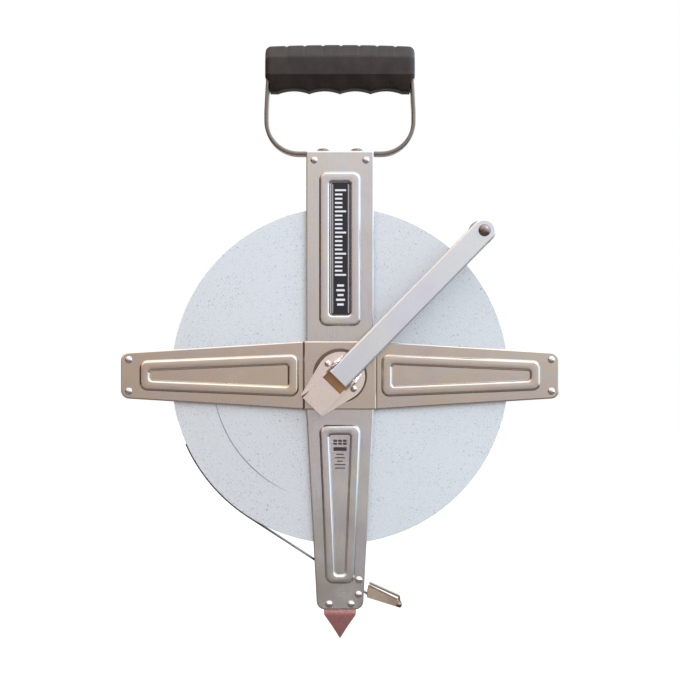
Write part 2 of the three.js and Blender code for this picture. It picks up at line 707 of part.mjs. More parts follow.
// The tape's free end: it leaves the roll at a tangent and runs over the lower guide roller
const lowerGuide = new THREE.Vector2(GUIDE_RIVETS[1].u, GUIDE_RIVETS[1].v);
const leadRadius = ROLL_RADIUS + GAP + TAPE_THICKNESS / 2;
const overRoller = ROLLER_RADIUS + GAP + TAPE_THICKNESS / 2;
const tangentAngle = lowerGuide.angle() - Math.acos((leadRadius + overRoller) / lowerGuide.length());
const backToRoll = new THREE.Vector2(-overRoller, 0).rotateAround(new THREE.Vector2(), tangentAngle);
const guide = backToRoll.add(lowerGuide);
const leadPoints = [];
const wrap = THREE.MathUtils.degToRad(33);
const wrapSteps = 10;
for (let step = 0; step <= wrapSteps; step += 1) {
  const angle = tangentAngle - wrap + (wrap * step) / wrapSteps;
  leadPoints.push(new THREE.Vector2(leadRadius * Math.cos(angle), leadRadius * Math.sin(angle)));
}
const leadDirection = guide.clone().sub(leadPoints.at(-1)).normalize();

// Its last stretch lies on the hook's floor and is riveted there.
const [floorStart, floorEnd] = HOOK_FLOOR.map(corner);
const floorDirection = floorEnd.clone().sub(floorStart).normalize();
const floorNormal = new THREE.Vector2(-floorDirection.y, floorDirection.x);
const floorLift = HOOK_CHEEK / 2 + GAP + TAPE_THICKNESS / 2;
const aboveFloor = floorNormal.clone().multiplyScalar(floorLift).add(floorStart);
const toFloor = aboveFloor.clone().sub(guide).dot(floorNormal) / leadDirection.dot(floorNormal);
const bend = leadDirection.clone().multiplyScalar(toFloor).add(guide);
leadPoints.push(bend, floorDirection.clone().multiplyScalar(8).add(bend));
const tapeRivetAt = floorDirection.clone().multiplyScalar(4.5).add(bend);

function alongFloorNormal(geometry) {
  const angle = Math.atan2(floorDirection.y, floorDirection.x);
  return geometry.rotateX(-Math.PI / 2).rotateZ(angle).translate(tapeRivetAt.x, tapeRivetAt.y, 0);
}
const tapeRivetHole = () => alongFloorNormal(slab(circle(0, 0, 1.2, 10), -4, 4));
const lead = slab(ribbon(leadPoints, TAPE_THICKNESS), -TAPE_WIDTH / 2, TAPE_WIDTH / 2);
place(front, 'tape_lead', cut(solid(lead), tapeRivetHole()), COATED_TAPE);

const tapeRivetTop = TAPE_THICKNESS / 2 + GAP;
const tapeRivet = doubleRivet(0.9, 1.9, 0.8, tapeRivetTop, floorLift + HOOK_CHEEK / 2 + GAP);
place(front, 'tape_end_rivet', alongFloorNormal(tapeRivet), BRIGHT);

// Hook: a folded body with two cheeks, and a claw that swings over it on a pin
function hookBody() {
  const cheekOutline = rounded([
    [21.7, -159.9],
    [20.2, -168.1, 0.6],
    [41.7, -175.3],
    [HOOK_EYE.u + 1.4, HOOK_EYE.v - 2.6, 1.2],
    [HOOK_EYE.u + 3, HOOK_EYE.v, 2],
    [HOOK_EYE.u + 0.6, HOOK_EYE.v + 2.8, 1.4],
    [43.7, -170.7],
  ]);
  const outer = HOOK_INNER + HOOK_CHEEK;
  return cut(
    join(
      slab(cheekOutline, HOOK_INNER, outer),
      slab(cheekOutline, -outer, -HOOK_INNER),
      slab(ribbon([floorStart, floorEnd], HOOK_CHEEK), -outer + 0.2, outer - 0.2),
    ),
    slab(circle(HOOK_EYE.u, HOOK_EYE.v, HOOK_PIN_RADIUS + GAP, 12), -20, 20),
    tapeRivetHole(),
  );
}
place(front, 'hook_body', hookBody(), STAINLESS);

const hookSeat = HOOK_INNER + HOOK_CHEEK + GAP;
const hookPin = doubleRivet(HOOK_PIN_RADIUS, 2, 0.8, hookSeat, hookSeat);
place(front, 'hook_pin', hookPin, BRIGHT, HOOK_EYE.u, HOOK_EYE.v);

function hookClaw() {
  const barrel = sleeve(2.5, HOOK_PIN_RADIUS + RUN, 4.5, 20).translate(HOOK_EYE.u, HOOK_EYE.v, 0);
  const blade = rounded([
    [HOOK_EYE.u + 0.6, HOOK_EYE.v + 1.9],
    [HOOK_EYE.u + 0.6, HOOK_EYE.v + 5.6, 1.4],
    [22.6, -157.9],
  ], false, 4);
  return join(barrel, slab(ribbon(blade, 1.4), -4.5, 4.5));
}
place(front, 'hook_claw', hookClaw(), STAINLESS);

export default assembly;
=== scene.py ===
"""Looks of the surveyor's tape reel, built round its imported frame.

Shapes are drawn in millimetres in face coordinates: u to the right, v up and w out of the face,
from the hub's centre. FRONT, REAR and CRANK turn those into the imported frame's coordinates, in metres.
"""

import json
import math
import random

import bmesh
import bpy
from mathutils import Matrix, Vector
from mathutils.geometry import delaunay_2d_cdt


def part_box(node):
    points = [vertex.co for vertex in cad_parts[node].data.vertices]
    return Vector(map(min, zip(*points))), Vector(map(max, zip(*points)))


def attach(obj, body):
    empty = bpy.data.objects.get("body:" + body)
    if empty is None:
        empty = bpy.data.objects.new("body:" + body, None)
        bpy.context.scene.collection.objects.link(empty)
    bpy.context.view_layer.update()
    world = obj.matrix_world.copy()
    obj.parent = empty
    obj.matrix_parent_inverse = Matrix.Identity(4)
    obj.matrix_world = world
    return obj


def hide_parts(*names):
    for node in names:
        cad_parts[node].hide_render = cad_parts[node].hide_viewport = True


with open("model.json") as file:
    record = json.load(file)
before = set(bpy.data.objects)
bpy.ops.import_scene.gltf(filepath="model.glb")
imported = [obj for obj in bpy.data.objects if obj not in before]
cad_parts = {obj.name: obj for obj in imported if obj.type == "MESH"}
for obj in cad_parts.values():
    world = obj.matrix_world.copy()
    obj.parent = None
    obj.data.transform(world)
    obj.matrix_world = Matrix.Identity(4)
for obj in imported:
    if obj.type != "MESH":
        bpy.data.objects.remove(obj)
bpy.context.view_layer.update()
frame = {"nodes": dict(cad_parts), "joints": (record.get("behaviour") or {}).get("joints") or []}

MM = 0.001
JOINTS = {joint["name"]: joint for joint in frame["joints"]}
HUB = Vector(JOINTS["reel_spin"]["pos_m"])
FRONT = Matrix.Translation(HUB) @ Matrix.Rotation(math.pi / 2, 4, "X") @ Matrix.Scale(MM, 4)
HALF_TURN = Matrix.Rotation(math.pi, 4, "Z")
REAR = Matrix.Translation(HUB) @ HALF_TURN @ Matrix.Translation(-HUB) @ FRONT
FOLD_AXIS = Vector(JOINTS["crank_fold"]["axis"])
CRANK_ANGLE = math.atan2(FOLD_AXIS.x, -FOLD_AXIS.z)
CRANK_OFFSET = -0.7  # from the hub's centre to the crank's middle line
CRANK = FRONT @ Matrix.Rotation(CRANK_ANGLE, 4, "Z") @ Matrix.Translation((0, CRANK_OFFSET, 0))
UPRIGHT_TURN = Matrix.Rotation(-math.pi / 2, 3, "X")  # lays a turned piece along v
random.seed(7)


def face_box(node, place=FRONT):
    """Lowest and highest corner of a CAD node in face coordinates."""
    back = place.inverted()
    points = [back @ vertex.co for vertex in frame["nodes"][node].data.vertices]
    low = Vector([min(point[axis] for point in points) for axis in range(3)])
    high = Vector([max(point[axis] for point in points) for axis in range(3)])
    return low, high


def round_box(node, place=FRONT):
    """The same corners, then the middle and the radius of a round CAD node."""
    low, high = face_box(node, place)
    return low, high, (low + high) / 2, (high.x - low.x) / 2


def new_object(name, data):
    obj = bpy.data.objects.new(name, data)
    bpy.context.scene.collection.objects.link(obj)
    return obj


# ------------ shader nodes

def set_inputs(tree, node, inputs):
    """Gives each input its value, or a link where it is given another node's output."""
    for key, value in inputs.items():
        if isinstance(value, bpy.types.NodeSocket):
            tree.links.new(value, node.inputs[key])
        else:
            node.inputs[key].default_value = value


def add_node(tree, kind, output, inputs=(), **settings):
    """Makes a shader node and returns one of its outputs."""
    node = tree.nodes.new(kind)
    for key, value in settings.items():
        setattr(node, key, value)
    set_inputs(tree, node, dict(inputs))
    return node.outputs[output]


# ------------ camera, light and floor

MM_PER_PIXEL = 0.755
PICTURE_PIXELS = 680
CAMERA_DISTANCE = 1.5
CAMERA_RISE = 0.0268
SENSOR = 36.0
SKY_UP = (0.52, 0.0, 0.85)
SKY = (
    (0.00, (0.020, 0.009, 0.008)),
    (0.25, (0.045, 0.022, 0.019)),
    (0.42, (0.230, 0.175, 0.160)),
    (0.49, (0.500, 0.450, 0.425)),
    (0.54, (0.600, 0.590, 0.580)),
    (0.60, (0.750, 0.765, 0.770)),
    (0.78, (1.300, 1.330, 1.350)),
    (1.00, (1.500, 1.620, 1.700)),
)
LEFT_TINT, RIGHT_TINT = (1.15, 0.98, 0.84, 1), (0.87, 1.00, 1.15, 1)
WHITE = (1, 1, 1, 1)
FLOOR_HALF_WIDTH, FLOOR_HALF_LENGTH = 0.8, 4.0
FLOOR_BROWN = (0.145, 0.124, 0.118, 1)
SQUARE = ((-1, -1), (1, -1), (1, 1), (-1, 1))


def make_camera():
    data = bpy.data.cameras.new("camera")
    data.sensor_width = SENSOR
    data.lens = SENSOR * CAMERA_DISTANCE / (MM_PER_PIXEL * MM * PICTURE_PIXELS)
    data.clip_end = 50
    camera = new_object("camera", data)
    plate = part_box("front_upright_plate")[0].y
    camera.location = HUB + Vector((0, plate - CAMERA_DISTANCE, CAMERA_RISE))
    camera.rotation_euler = (math.pi / 2, 0, 0)
    bpy.context.scene.camera = camera


def area_light(name, location, size, power, color, aim=(0, 0, 0)):
    data = bpy.data.lights.new(name, "AREA")
    data.shape = "RECTANGLE"
    data.size, data.size_y = size
    data.energy = power
    data.color = color
    light = new_object(name, data)
    light.location = HUB + Vector(location)
    light.rotation_euler = (HUB + Vector(aim) - light.location).to_track_quat("-Z", "Y").to_euler()


def make_world():
    """White to the camera. To all else a gradient, bright above and right, dark brown below and left."""
    world = bpy.data.worlds.new("studio")
    world.use_nodes = True
    tree = world.node_tree
    tree.nodes.clear()
    direction = add_node(tree, "ShaderNodeTexCoord", "Generated")

    def along(axis, low, high):
        """From 0 to 1 as the direction along an axis goes from low to high."""
        inputs = {0: direction, 1: axis}
        height = add_node(tree, "ShaderNodeVectorMath", "Value", inputs, operation="DOT_PRODUCT")
        inputs = {"Value": height, "From Min": low, "From Max": high}
        return add_node(tree, "ShaderNodeMapRange", "Result", inputs)

    sky = add_node(tree, "ShaderNodeValToRGB", "Color", {"Fac": along(SKY_UP, -1, 1)})
    elements = sky.node.color_ramp.elements
    elements[0].position = SKY[0][0]
    elements[1].position = SKY[-1][0]
    for position, _ in SKY[1:-1]:
        elements.new(position)
    for element, (_, color) in zip(elements, SKY):
        element.color = (*color, 1)
    inputs = {"A": LEFT_TINT, "B": RIGHT_TINT, "Factor": along((1, 0, 0), -0.45, 0.45)}
    tint = add_node(tree, "ShaderNodeMix", "Result", inputs, data_type="RGBA")
    inputs = {"A": sky, "B": tint, "Factor": 1}
    product = add_node(tree, "ShaderNodeMix", "Result", inputs, data_type="RGBA", blend_type="MULTIPLY")
    studio = add_node(tree, "ShaderNodeBackground", "Background", {"Color": product, "Strength": 1.5})
    backdrop = add_node(tree, "ShaderNodeBackground", "Background", {"Color": WHITE})
    seen = add_node(tree, "ShaderNodeLightPath", "Is Camera Ray")
    choice = add_node(tree, "ShaderNodeMixShader", "Shader", {0: seen, 1: studio, 2: backdrop})
    set_inputs(tree, tree.nodes.new("ShaderNodeOutputWorld"), {"Surface": choice})
    bpy.context.scene.world = world


def make_floor():
    """A flat floor at the spike's tip, white to the camera and brown to light and reflections."""
    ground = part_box("ground_spike")[0].z
    corners = [(x * FLOOR_HALF_WIDTH, y * FLOOR_HALF_LENGTH, ground) for x, y in SQUARE]
    mesh = bpy.data.meshes.new("floor")
    mesh.from_pydata(corners, [], [(0, 1, 2, 3)])
    material = bpy.data.materials.new("floor_white")
    material.use_nodes = True
    tree = material.node_tree
    seen = add_node(tree, "ShaderNodeLightPath", "Is Camera Ray")
    set_inputs(tree, tree.nodes["Principled BSDF"], {
        "Base Color": FLOOR_BROWN, "Roughness": 0.9, "Specular IOR Level": 0.1,
        "Emission Color": WHITE, "Emission Strength": seen,
    })
    mesh.materials.append(material)
    new_object("floor", mesh)


make_camera()
make_world()
make_floor()
area_light("key_light", (1.3, -1.5, 1.5), (1.2, 1.2), 9, (1.0, 0.99, 0.97))
area_light("fill_light", (-1.6, -1.6, 0.5), (1.4, 1.4), 3, (0.92, 0.96, 1.0))
area_light("floor_light", (0.1, -1.3, -0.02), (1.4, 0.8), 8, (0.94, 1.0, 1.06), (0.1, -1.3, -0.2))
bpy.context.scene.view_settings.view_transform = "Standard"


# ------------ outlines

def rounded(corners, closed=True, steps=8):
    """Points of a polygon or open line whose corners (u, v, radius) are rounded by arcs."""
    points = []
    last = len(corners) - 1
    for index, entry in enumerate(corners):
        at = Vector(entry[:2])
        radius = entry[2] if len(entry) > 2 else 0
        if radius == 0 or (not closed and index in (0, last)):
            points.append(at)
            continue
        before = (Vector(corners[index - 1][:2]) - at).normalized()
        after = (Vector(corners[(index + 1) % len(corners)][:2]) - at).normalized()
        half = before.angle(after) / 2
        centre = at + (before + after).normalized() * radius / math.sin(half)
        start = at + before * radius / math.tan(half) - centre
        finish = at + after * radius / math.tan(half) - centre
        turn = math.atan2(start.x * finish.y - start.y * finish.x, start.dot(finish))
        for step in range(steps + 1):
            spoke = start.copy()
            spoke.rotate(Matrix.Rotation(turn * step / steps, 2))
            points.append(centre + spoke)
    return points


def ribbon(line, thickness):
    """Outline of a strip of even thickness that follows a line."""
    left, right = [], []
    for index, point in enumerate(line):
        incoming = (point - line[index - 1]).normalized() if index else None
        outgoing = (line[index + 1] - point).normalized() if index < len(line) - 1 else None
        incoming = incoming or outgoing
        outgoing = outgoing or incoming
        along = (incoming + outgoing).normalized()
        widen = 1 / math.sqrt((1 + incoming.dot(outgoing)) / 2)
        offset = Vector((-along.y, along.x)) * thickness / 2 * widen
        left.append(point + offset)
        right.append(point - offset)
    return left + right[::-1]


def polar(radius, angle, u=0.0, v=0.0):
    """The point at a radius and an angle from (u, v)."""
    return Vector((u + radius * math.cos(angle), v + radius * math.sin(angle)))


def circle(u, v, radius, segments):
    return [polar(radius, 2 * math.pi * step / segments, u, v) for step in range(segments)]


def inside(point, loop):
    """Whether a point lies inside a closed loop."""
    hits = False
    for a, b in zip(loop, loop[1:] + loop[:1]):
        if (a.y > point.y) != (b.y > point.y):
            hits ^= point.x < a.x + (point.y - a.y) * (b.x - a.x) / (b.y - a.y)
    return hits


def fill(outline, holes=()):
    """Triangles, anticlockwise, that fill an outline round its holes: (points, faces)."""
    points, edges = [], []
    for loop in (outline, *holes):
        first = len(points)
        points.extend(loop)
        edges += [(first + i, first + (i + 1) % len(loop)) for i in range(len(loop))]
    verts, _, faces, _, _, _ = delaunay_2d_cdt(points, edges, [], 0, 1e-5)
    kept = []
    for face in faces:
        middle = sum((verts[i] for i in face), Vector((0, 0))) / 3
        if inside(middle, outline) and not any(inside(middle, hole) for hole in holes):
            kept.append(tuple(face))
    return verts, kept


# ------------ mesh builders

class Shape:
    """Vertices and faces being gathered, in face coordinates."""

    def __init__(self):
        self.verts = []
        self.faces = []
        self.flat = set()

    def add(self, verts, faces, flat=False):
        first = len(self.verts)
        self.verts.extend(Vector(vert) for vert in verts)
        for face in faces:
            if flat:
                self.flat.add(len(self.faces))
            self.faces.append([first + index for index in face])
        return self

    def strip(self, loops, closed=True):
        """Quads between each loop and the next; the loops have equal lengths."""
        count = len(loops[0])
        faces = []
        for row in range(len(loops) - 1):
            for i in range(count if closed else count - 1):
                j = (i + 1) % count
                faces.append((row * count + i, row * count + j, (row + 1) * count + j, (row + 1) * count + i))
        return self.add([point for loop in loops for point in loop], faces)

    def level(self, outline, w, holes=()):
        """A flat face at height w."""
        points, faces = fill(outline, holes)
        return self.add([(point.x, point.y, w) for point in points], faces, flat=True)


def at_height(loop, w):
    return [Vector((point[0], point[1], w)) for point in loop]


def prism(outline, low, high, holes=()):
    """A flat piece with straight sides."""
    shape = Shape().level(outline, high, holes).level(outline, low, holes)
    for loop in (outline, *holes):
        shape.strip([at_height(loop, low), at_height(loop, high)])
    return shape


def cross_prism(outline, low, high):
    """A prism drawn in the u-w plane and drawn out along v."""
    shape = prism(outline, low, high)
    shape.verts = [Vector((vert.x, vert.z, vert.y)) for vert in shape.verts]
    return shape


def spun(profile, segments):
    """A turned piece about w from its profile (radius, w); it closes on itself or on the axis."""
    return Shape().strip([at_height(circle(0, 0, r, segments), w) for r, w in profile])


def dome(radius, height, base, steps=8):
    """Profile of a domed head, from its rim to its top."""
    angles = [math.pi / 2 * step / steps for step in range(steps + 1)]
    return [(radius * math.cos(angle), base + height * math.sin(angle)) for angle in angles]


def moved(shape, u=0.0, v=0.0, w=0.0, turn=None):
    """The shape turned by a 3x3 matrix, if any, then shifted."""
    for index, vert in enumerate(shape.verts):
        shape.verts[index] = (turn @ vert if turn else vert) + Vector((u, v, w))
    return shape


MERGE_DISTANCE, DEGENERATE_LENGTH = 2e-7, 1e-8


def clean(built, face_outward=True):
    """Merges doubled points of a mesh being built and turns its faces outward."""
    bmesh.ops.remove_doubles(built, verts=built.verts, dist=MERGE_DISTANCE)
    bmesh.ops.dissolve_degenerate(built, edges=built.edges, dist=DEGENERATE_LENGTH)
    if face_outward:
        bmesh.ops.recalc_face_normals(built, faces=built.faces)


def round_edges(obj, width, segments, angle):
    edge = obj.modifiers.new("edge", "BEVEL")
    edge.width = width * MM
    edge.segments = segments
    edge.limit_method = "ANGLE"
    edge.angle_limit = math.radians(angle)


def finish_mesh(obj, flat_normals, sharp, bevel, sheet):
    mesh = obj.data
    if sheet:
        thicken = obj.modifiers.new("sheet", "SOLIDIFY")
        thicken.thickness = sheet * MM
        thicken.offset = -1
        thicken.use_even_offset = True
    if bevel:
        round_edges(obj, bevel, 3, 62)
        weigh = obj.modifiers.new("even_shading", "WEIGHTED_NORMAL")
        weigh.keep_sharp = True
    else:
        mesh.set_sharp_from_angle(angle=math.radians(sharp))
    for polygon, is_flat in zip(mesh.polygons, flat_normals):
        polygon.use_smooth = not is_flat


def piece(name, shape, surface, node=None, body="frame", place=FRONT, sharp=35, bevel=0.0, sheet=0.0):
    """Makes one visible piece that rides on a body and stands for the CAD node named."""
    built = bmesh.new()
    verts = [built.verts.new(place @ vert) for vert in shape.verts]
    flat_layer = built.faces.layers.int.new("flat")
    for index, face in enumerate(shape.faces):
        if len(set(face)) > 2:
            made = built.faces.new([verts[i] for i in face])
            made[flat_layer] = int(index in shape.flat)
    clean(built, face_outward=not sheet)
    flats = [bool(face[flat_layer]) for face in built.faces]
    mesh = bpy.data.meshes.new(name)
    built.to_mesh(mesh)
    built.free()
    obj = new_object(name, mesh)
    finish_mesh(obj, flats, sharp, bevel, sheet)
    mesh.materials.append(surface.material)
    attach(obj, body)
    if node:
        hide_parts(node)
    return obj


def combine(obj, shape, operation, place=FRONT):
    """Adds or cuts away a second shape, exactly, and keeps the result as the piece's mesh."""
    tool = bpy.data.meshes.new("tool")
    tool.from_pydata([place @ vert for vert in shape.verts], [], shape.faces)
    built = bmesh.new()
    built.from_mesh(tool)
    clean(built)
    built.to_mesh(tool)
    built.free()
    tool_object = new_object("tool", tool)
    step = obj.modifiers.new("combine", "BOOLEAN")
    step.operation = operation
    step.solver = "EXACT"
    step.object = tool_object
    obj.modifiers.move(len(obj.modifiers) - 1, 0)
    for modifier in obj.modifiers[1:]:
        modifier.show_viewport = False
    graph = bpy.context.evaluated_depsgraph_get()
    result = bpy.data.meshes.new_from_object(obj.evaluated_get(graph), depsgraph=graph)
    obj.modifiers.remove(obj.modifiers[0])
    for modifier in obj.modifiers:
        modifier.show_viewport = True
    old = obj.data
    obj.data = result
    bpy.data.meshes.remove(old)
    bpy.data.objects.remove(tool_object)
    bpy.data.meshes.remove(tool)


# ------------ materials

class Surface:
    """A procedural material and its slot, built up step by step over places in millimetres."""

    def __init__(self, name, slot, color, roughness, metallic=0.0):
        self.slot = slot
        self.material = bpy.data.materials.new(name)
        self.material.use_nodes = True
        self.tree = self.material.node_tree
        self.shader = self.tree.nodes["Principled BSDF"]
        self.set({"Base Color": (*color, 1), "Roughness": roughness, "Metallic": metallic})
        inputs = {0: self.node("ShaderNodeTexCoord", "Object"), "Scale": 1 / MM}
        self.position = self.node("ShaderNodeVectorMath", "Vector", inputs, operation="SCALE")

    def node(self, kind, output, inputs=(), **settings):
        return add_node(self.tree, kind, output, inputs, **settings)

    def set(self, inputs):
        set_inputs(self.tree, self.shader, inputs)

    def vectors(self, operation, *values, output="Vector"):
        return self.node("ShaderNodeVectorMath", output, enumerate(values), operation=operation)

    def numbers(self, operation, *values):
        return self.node("ShaderNodeMath", "Value", enumerate(values), operation=operation)

    def noise(self, scale, detail):
        """Noise from 0 to 1 whose features are about 1 / scale millimetres in each direction."""
        place = self.node("ShaderNodeMapping", "Vector", {"Vector": self.position, "Scale": scale})
        inputs = {"Vector": place, "Scale": 1.0, "Detail": detail, "Roughness": 0.55}
        return self.node("ShaderNodeTexNoise", "Fac", inputs)

    def range(self, value, low, high, to_low, to_high):
        inputs = {"Value": value, "From Min": low, "From Max": high, "To Min": to_low, "To Max": to_high}
        return self.node("ShaderNodeMapRange", "Result", inputs)

    def tint(self, amount, color):
        """Blends the base colour towards another by amount."""
        socket = self.shader.inputs["Base Color"]
        before = socket.links[0].from_socket if socket.is_linked else socket.default_value
        inputs = {"A": before, "B": (*color, 1), "Factor": amount}
        self.set({"Base Color": self.node("ShaderNodeMix", "Result", inputs, data_type="RGBA")})

    def vary_roughness(self, amount, low, high):
        self.set({"Roughness": self.range(amount, 0.3, 0.7, low, high)})

    def bump(self, height, distance, strength):
        inputs = {"Height": height, "Distance": distance * MM, "Strength": strength}
        self.set({"Normal": self.node("ShaderNodeBump", "Normal", inputs)})

    def spoke(self):
        """The vector out from the reel's axis, in millimetres."""
        return self.vectors("MULTIPLY", self.vectors("SUBTRACT", self.position, HUB / MM), (1, 0, 1))

    def from_hub(self):
        """Distance from the reel's axis, in millimetres."""
        return self.vectors("LENGTH", self.spoke(), output="Value")

    def toward(self, degrees):
        """Cosine of the angle between a point's spoke and one at so many degrees."""
        angle = math.radians(degrees)
        unit = self.vectors("NORMALIZE", self.spoke())
        return self.vectors("DOT_PRODUCT", unit, (math.cos(angle), 0, math.sin(angle)), output="Value")


def even(size):
    return (size, size, size)


def satin_steel(name, slot, color, roughness, streak, bands=0.2, fold_shade_at=None):
    """Metal with a drawn grain, fine and in broad bands, and soft cloudy staining.

    Painted shade, if asked for, is a dark line along the plate's fold, this far to the left and to the right
    of the hub."""
    made = Surface(name, slot, color, roughness, 1.0)
    cloud = made.noise(even(0.035), 3)
    grain = made.noise(streak, 3)
    broad = made.noise([size * 0.35 for size in streak], 2)
    stain = made.noise(even(0.022), 2)
    for pattern, low, high, most, shift in (
        (cloud, 0.35, 0.70, 0.6, (0.86, 0.76, 0.78)),
        (stain, 0.42, 0.62, 0.7, (1.00, 1.00, 0.86)),
        (grain, 0.45, 0.70, 0.4, (0.98, 0.88, 0.80)),
        (broad, 0.48, 0.68, bands, (0.90, 0.98, 1.08)),
    ):
        stained = [channel * factor for channel, factor in zip(color, shift)]
        made.tint(made.range(pattern, low, high, 0.0, most), stained)
    made.vary_roughness(cloud, roughness - 0.05, roughness + 0.08)
    made.bump(grain, 0.012, 0.25)
    # Painted shade: a narrow dark line along the fold where the cross plate steps over the upright.
    if fold_shade_at:
        aside = made.numbers("ABSOLUTE", made.node("ShaderNodeSeparateXYZ", "X", {0: made.spoke()}))
        near = made.numbers("COMPARE", aside, fold_shade_at, 0.45)
        made.tint(made.range(near, 0, 1, 0.0, 0.75), (0.10, 0.05, 0.035))
    return made


def bright_steel(name, color, roughness, metallic=1.0):
    """Polished steel with slight handling marks."""
    made = Surface(name, "bright_steel", color, roughness, metallic)
    marks = made.noise(even(1.6), 4)
    made.tint(made.range(marks, 0.55, 0.8, 0.0, 0.5), [channel * 0.6 for channel in color])
    made.vary_roughness(marks, roughness * 0.8, roughness * 1.6)
    made.bump(marks, 0.03, 0.3)
    return made


def tape_edges():
    """The edges of a wound, coated tape: concentric lines, fine dark flecks and painted shade along part of
    one loose turn.
    """
    made = Surface("coated_tape_edges", "tape_coating", (0.755, 0.79, 0.815), 0.34, 0.55)
    distance = made.from_hub()
    inputs = {"Scale": 1.1, "Detail": 2, "W": distance}
    rings = made.node("ShaderNodeTexNoise", "Fac", inputs, noise_dimensions="1D")
    made.tint(made.range(rings, 0.52, 0.75, 0.0, 0.09), (0.52, 0.58, 0.63))
    # Painted shade: a thin dark ring at 96.5 mm, fading out away from 215 degrees, where one turn lies lower
    # than its neighbours.
    loose_turn_shade = made.numbers("COMPARE", distance, 96.5, 0.4)
    shade_sweep = made.range(made.toward(215), 0.84, 0.98, 0.0, 0.75)
    made.tint(made.numbers("MULTIPLY", loose_turn_shade, shade_sweep), (0.16, 0.18, 0.24))
    patch = made.noise(even(0.04), 2)
    for size, low, high, most in ((1.6, 0.655, 0.70, 1.0), (0.8, 0.67, 0.71, 0.9)):
        fleck = made.range(made.noise(even(size), 1.5), low, high, 0.0, most)
        dense = made.range(patch, 0.35, 0.6, 0.4, 0.95)
        made.tint(made.numbers("MULTIPLY", fleck, dense), (0.20, 0.24, 0.30))
    made.vary_roughness(rings, 0.30, 0.38)
    made.bump(rings, 0.012, 0.25)
    tangent = made.node("ShaderNodeTangent", "Tangent", direction_type="RADIAL", axis="Y")
    made.set({"Tangent": tangent, "Anisotropic": 0.75, "Coat Weight": 0.15, "Coat Roughness": 0.3})
    return made


def moulded(name, slot, color, roughness, grain, depth, warm=None, specular=0.5):
    """Plastic, rubber or print with a fine grain."""
    made = Surface(name, slot, color, roughness)
    made.set({"Specular IOR Level": specular})
    fine = made.noise(even(grain), 3)
    made.vary_roughness(fine, roughness - 0.06, roughness + 0.1)
    if warm:
        made.tint(made.range(made.noise(even(0.09), 2), 0.35, 0.7, 0.0, 0.8), warm)
    made.bump(fine, depth, 0.6)
    return made


DOWN_GRAIN, ACROSS_GRAIN = (1.2, 1.2, 0.12), (0.12, 1.2, 1.2)
BANDS = 0.7
# Distance from the hub of the painted shade line along the cross plate's fold.
FOLD_SHADE_AT = 27.75
STEEL = satin_steel("pressed_stainless", "frame_steel", (0.66, 0.645, 0.635), 0.21, DOWN_GRAIN, BANDS)
STEEL_ACROSS = satin_steel("pressed_stainless_cross", "frame_steel", (0.66, 0.59, 0.52), 0.21, ACROSS_GRAIN,
                           BANDS, FOLD_SHADE_AT)
BRACKET_STEEL = satin_steel("bracket_steel", "frame_steel", (0.95, 0.88, 0.83), 0.22, even(0.5))
ARM_STEEL = satin_steel("crank_arm_steel", "crank_steel", (0.73, 0.745, 0.80), 0.42, even(0.6))
STRAP_STEEL = satin_steel("strap_steel", "frame_steel", (0.235, 0.215, 0.185), 0.2, (0.3, 1.5, 0.3))
BRIGHT = bright_steel("bright_rivets", (0.70, 0.65, 0.64), 0.09)
DARK_STEEL = bright_steel("dark_rivets", (0.26, 0.20, 0.19), 0.14)
# The spike's red-brown is partly painted reflection of a brown floor, partly red-brown oxide on the steel.
SPIKE_STEEL = bright_steel("spike_steel", (0.76, 0.37, 0.34), 0.24, 0.7)
HOOK_STEEL = satin_steel("hook_plate", "hook_steel", (0.78, 0.66, 0.53), 0.24, even(1.5))
CLAW_STEEL = satin_steel("claw_plate", "hook_steel", (0.42, 0.34, 0.28), 0.24, even(1.5))
ALLOY = satin_steel("machined_alloy", "aluminium", (0.60, 0.50, 0.42), 0.35, even(0.8))
BRONZE = satin_steel("machined_bronze", "aluminium", (0.58, 0.36, 0.20), 0.35, even(0.8))
TAPE = tape_edges()
LEAD_COAT = moulded("dark_tape_lead", "tape_coating", (0.020, 0.022, 0.036), 0.35, 0.9, 0.01)
NYLON = moulded("bearing_nylon", "bearing_nylon", (0.62, 0.58, 0.50), 0.45, 1.5, 0.02)
# The bush rings' dark brown is painted shadow: a dark rim round the hub's disc where it meets the plate.
BUSH_NYLON_PAINTED_SHADOW = moulded("bush_nylon_painted_shadow", "bearing_nylon", (0.13, 0.085, 0.06), 0.5, 1.5, 0.02)
GRIP_RUBBER = moulded("grip_moulding", "grip_rubber", (0.018, 0.012, 0.010), 0.46, 1.1, 0.26,
                      (0.036, 0.024, 0.018), 0.34)
KNOB_PLASTIC = moulded("knob_moulding", "knob_plastic", (0.012, 0.012, 0.013), 0.3, 1.0, 0.03)
LABEL_BLACK = moulded("label_film", "label_film", (0.007, 0.005, 0.010), 0.4, 0.8, 0.01)
PRINT_WHITE = moulded("print_white", "label_film", (0.78, 0.78, 0.80), 0.4, 1.0, 0.005)
PRINT_SILVER = satin_steel("print_silver", "label_film", (0.55, 0.56, 0.60), 0.35, even(0.5))
PRINT_BLACK = moulded("print_black", "label_film", (0.025, 0.022, 0.03), 0.4, 1.0, 0.005)


# ------------ pressed frame plates

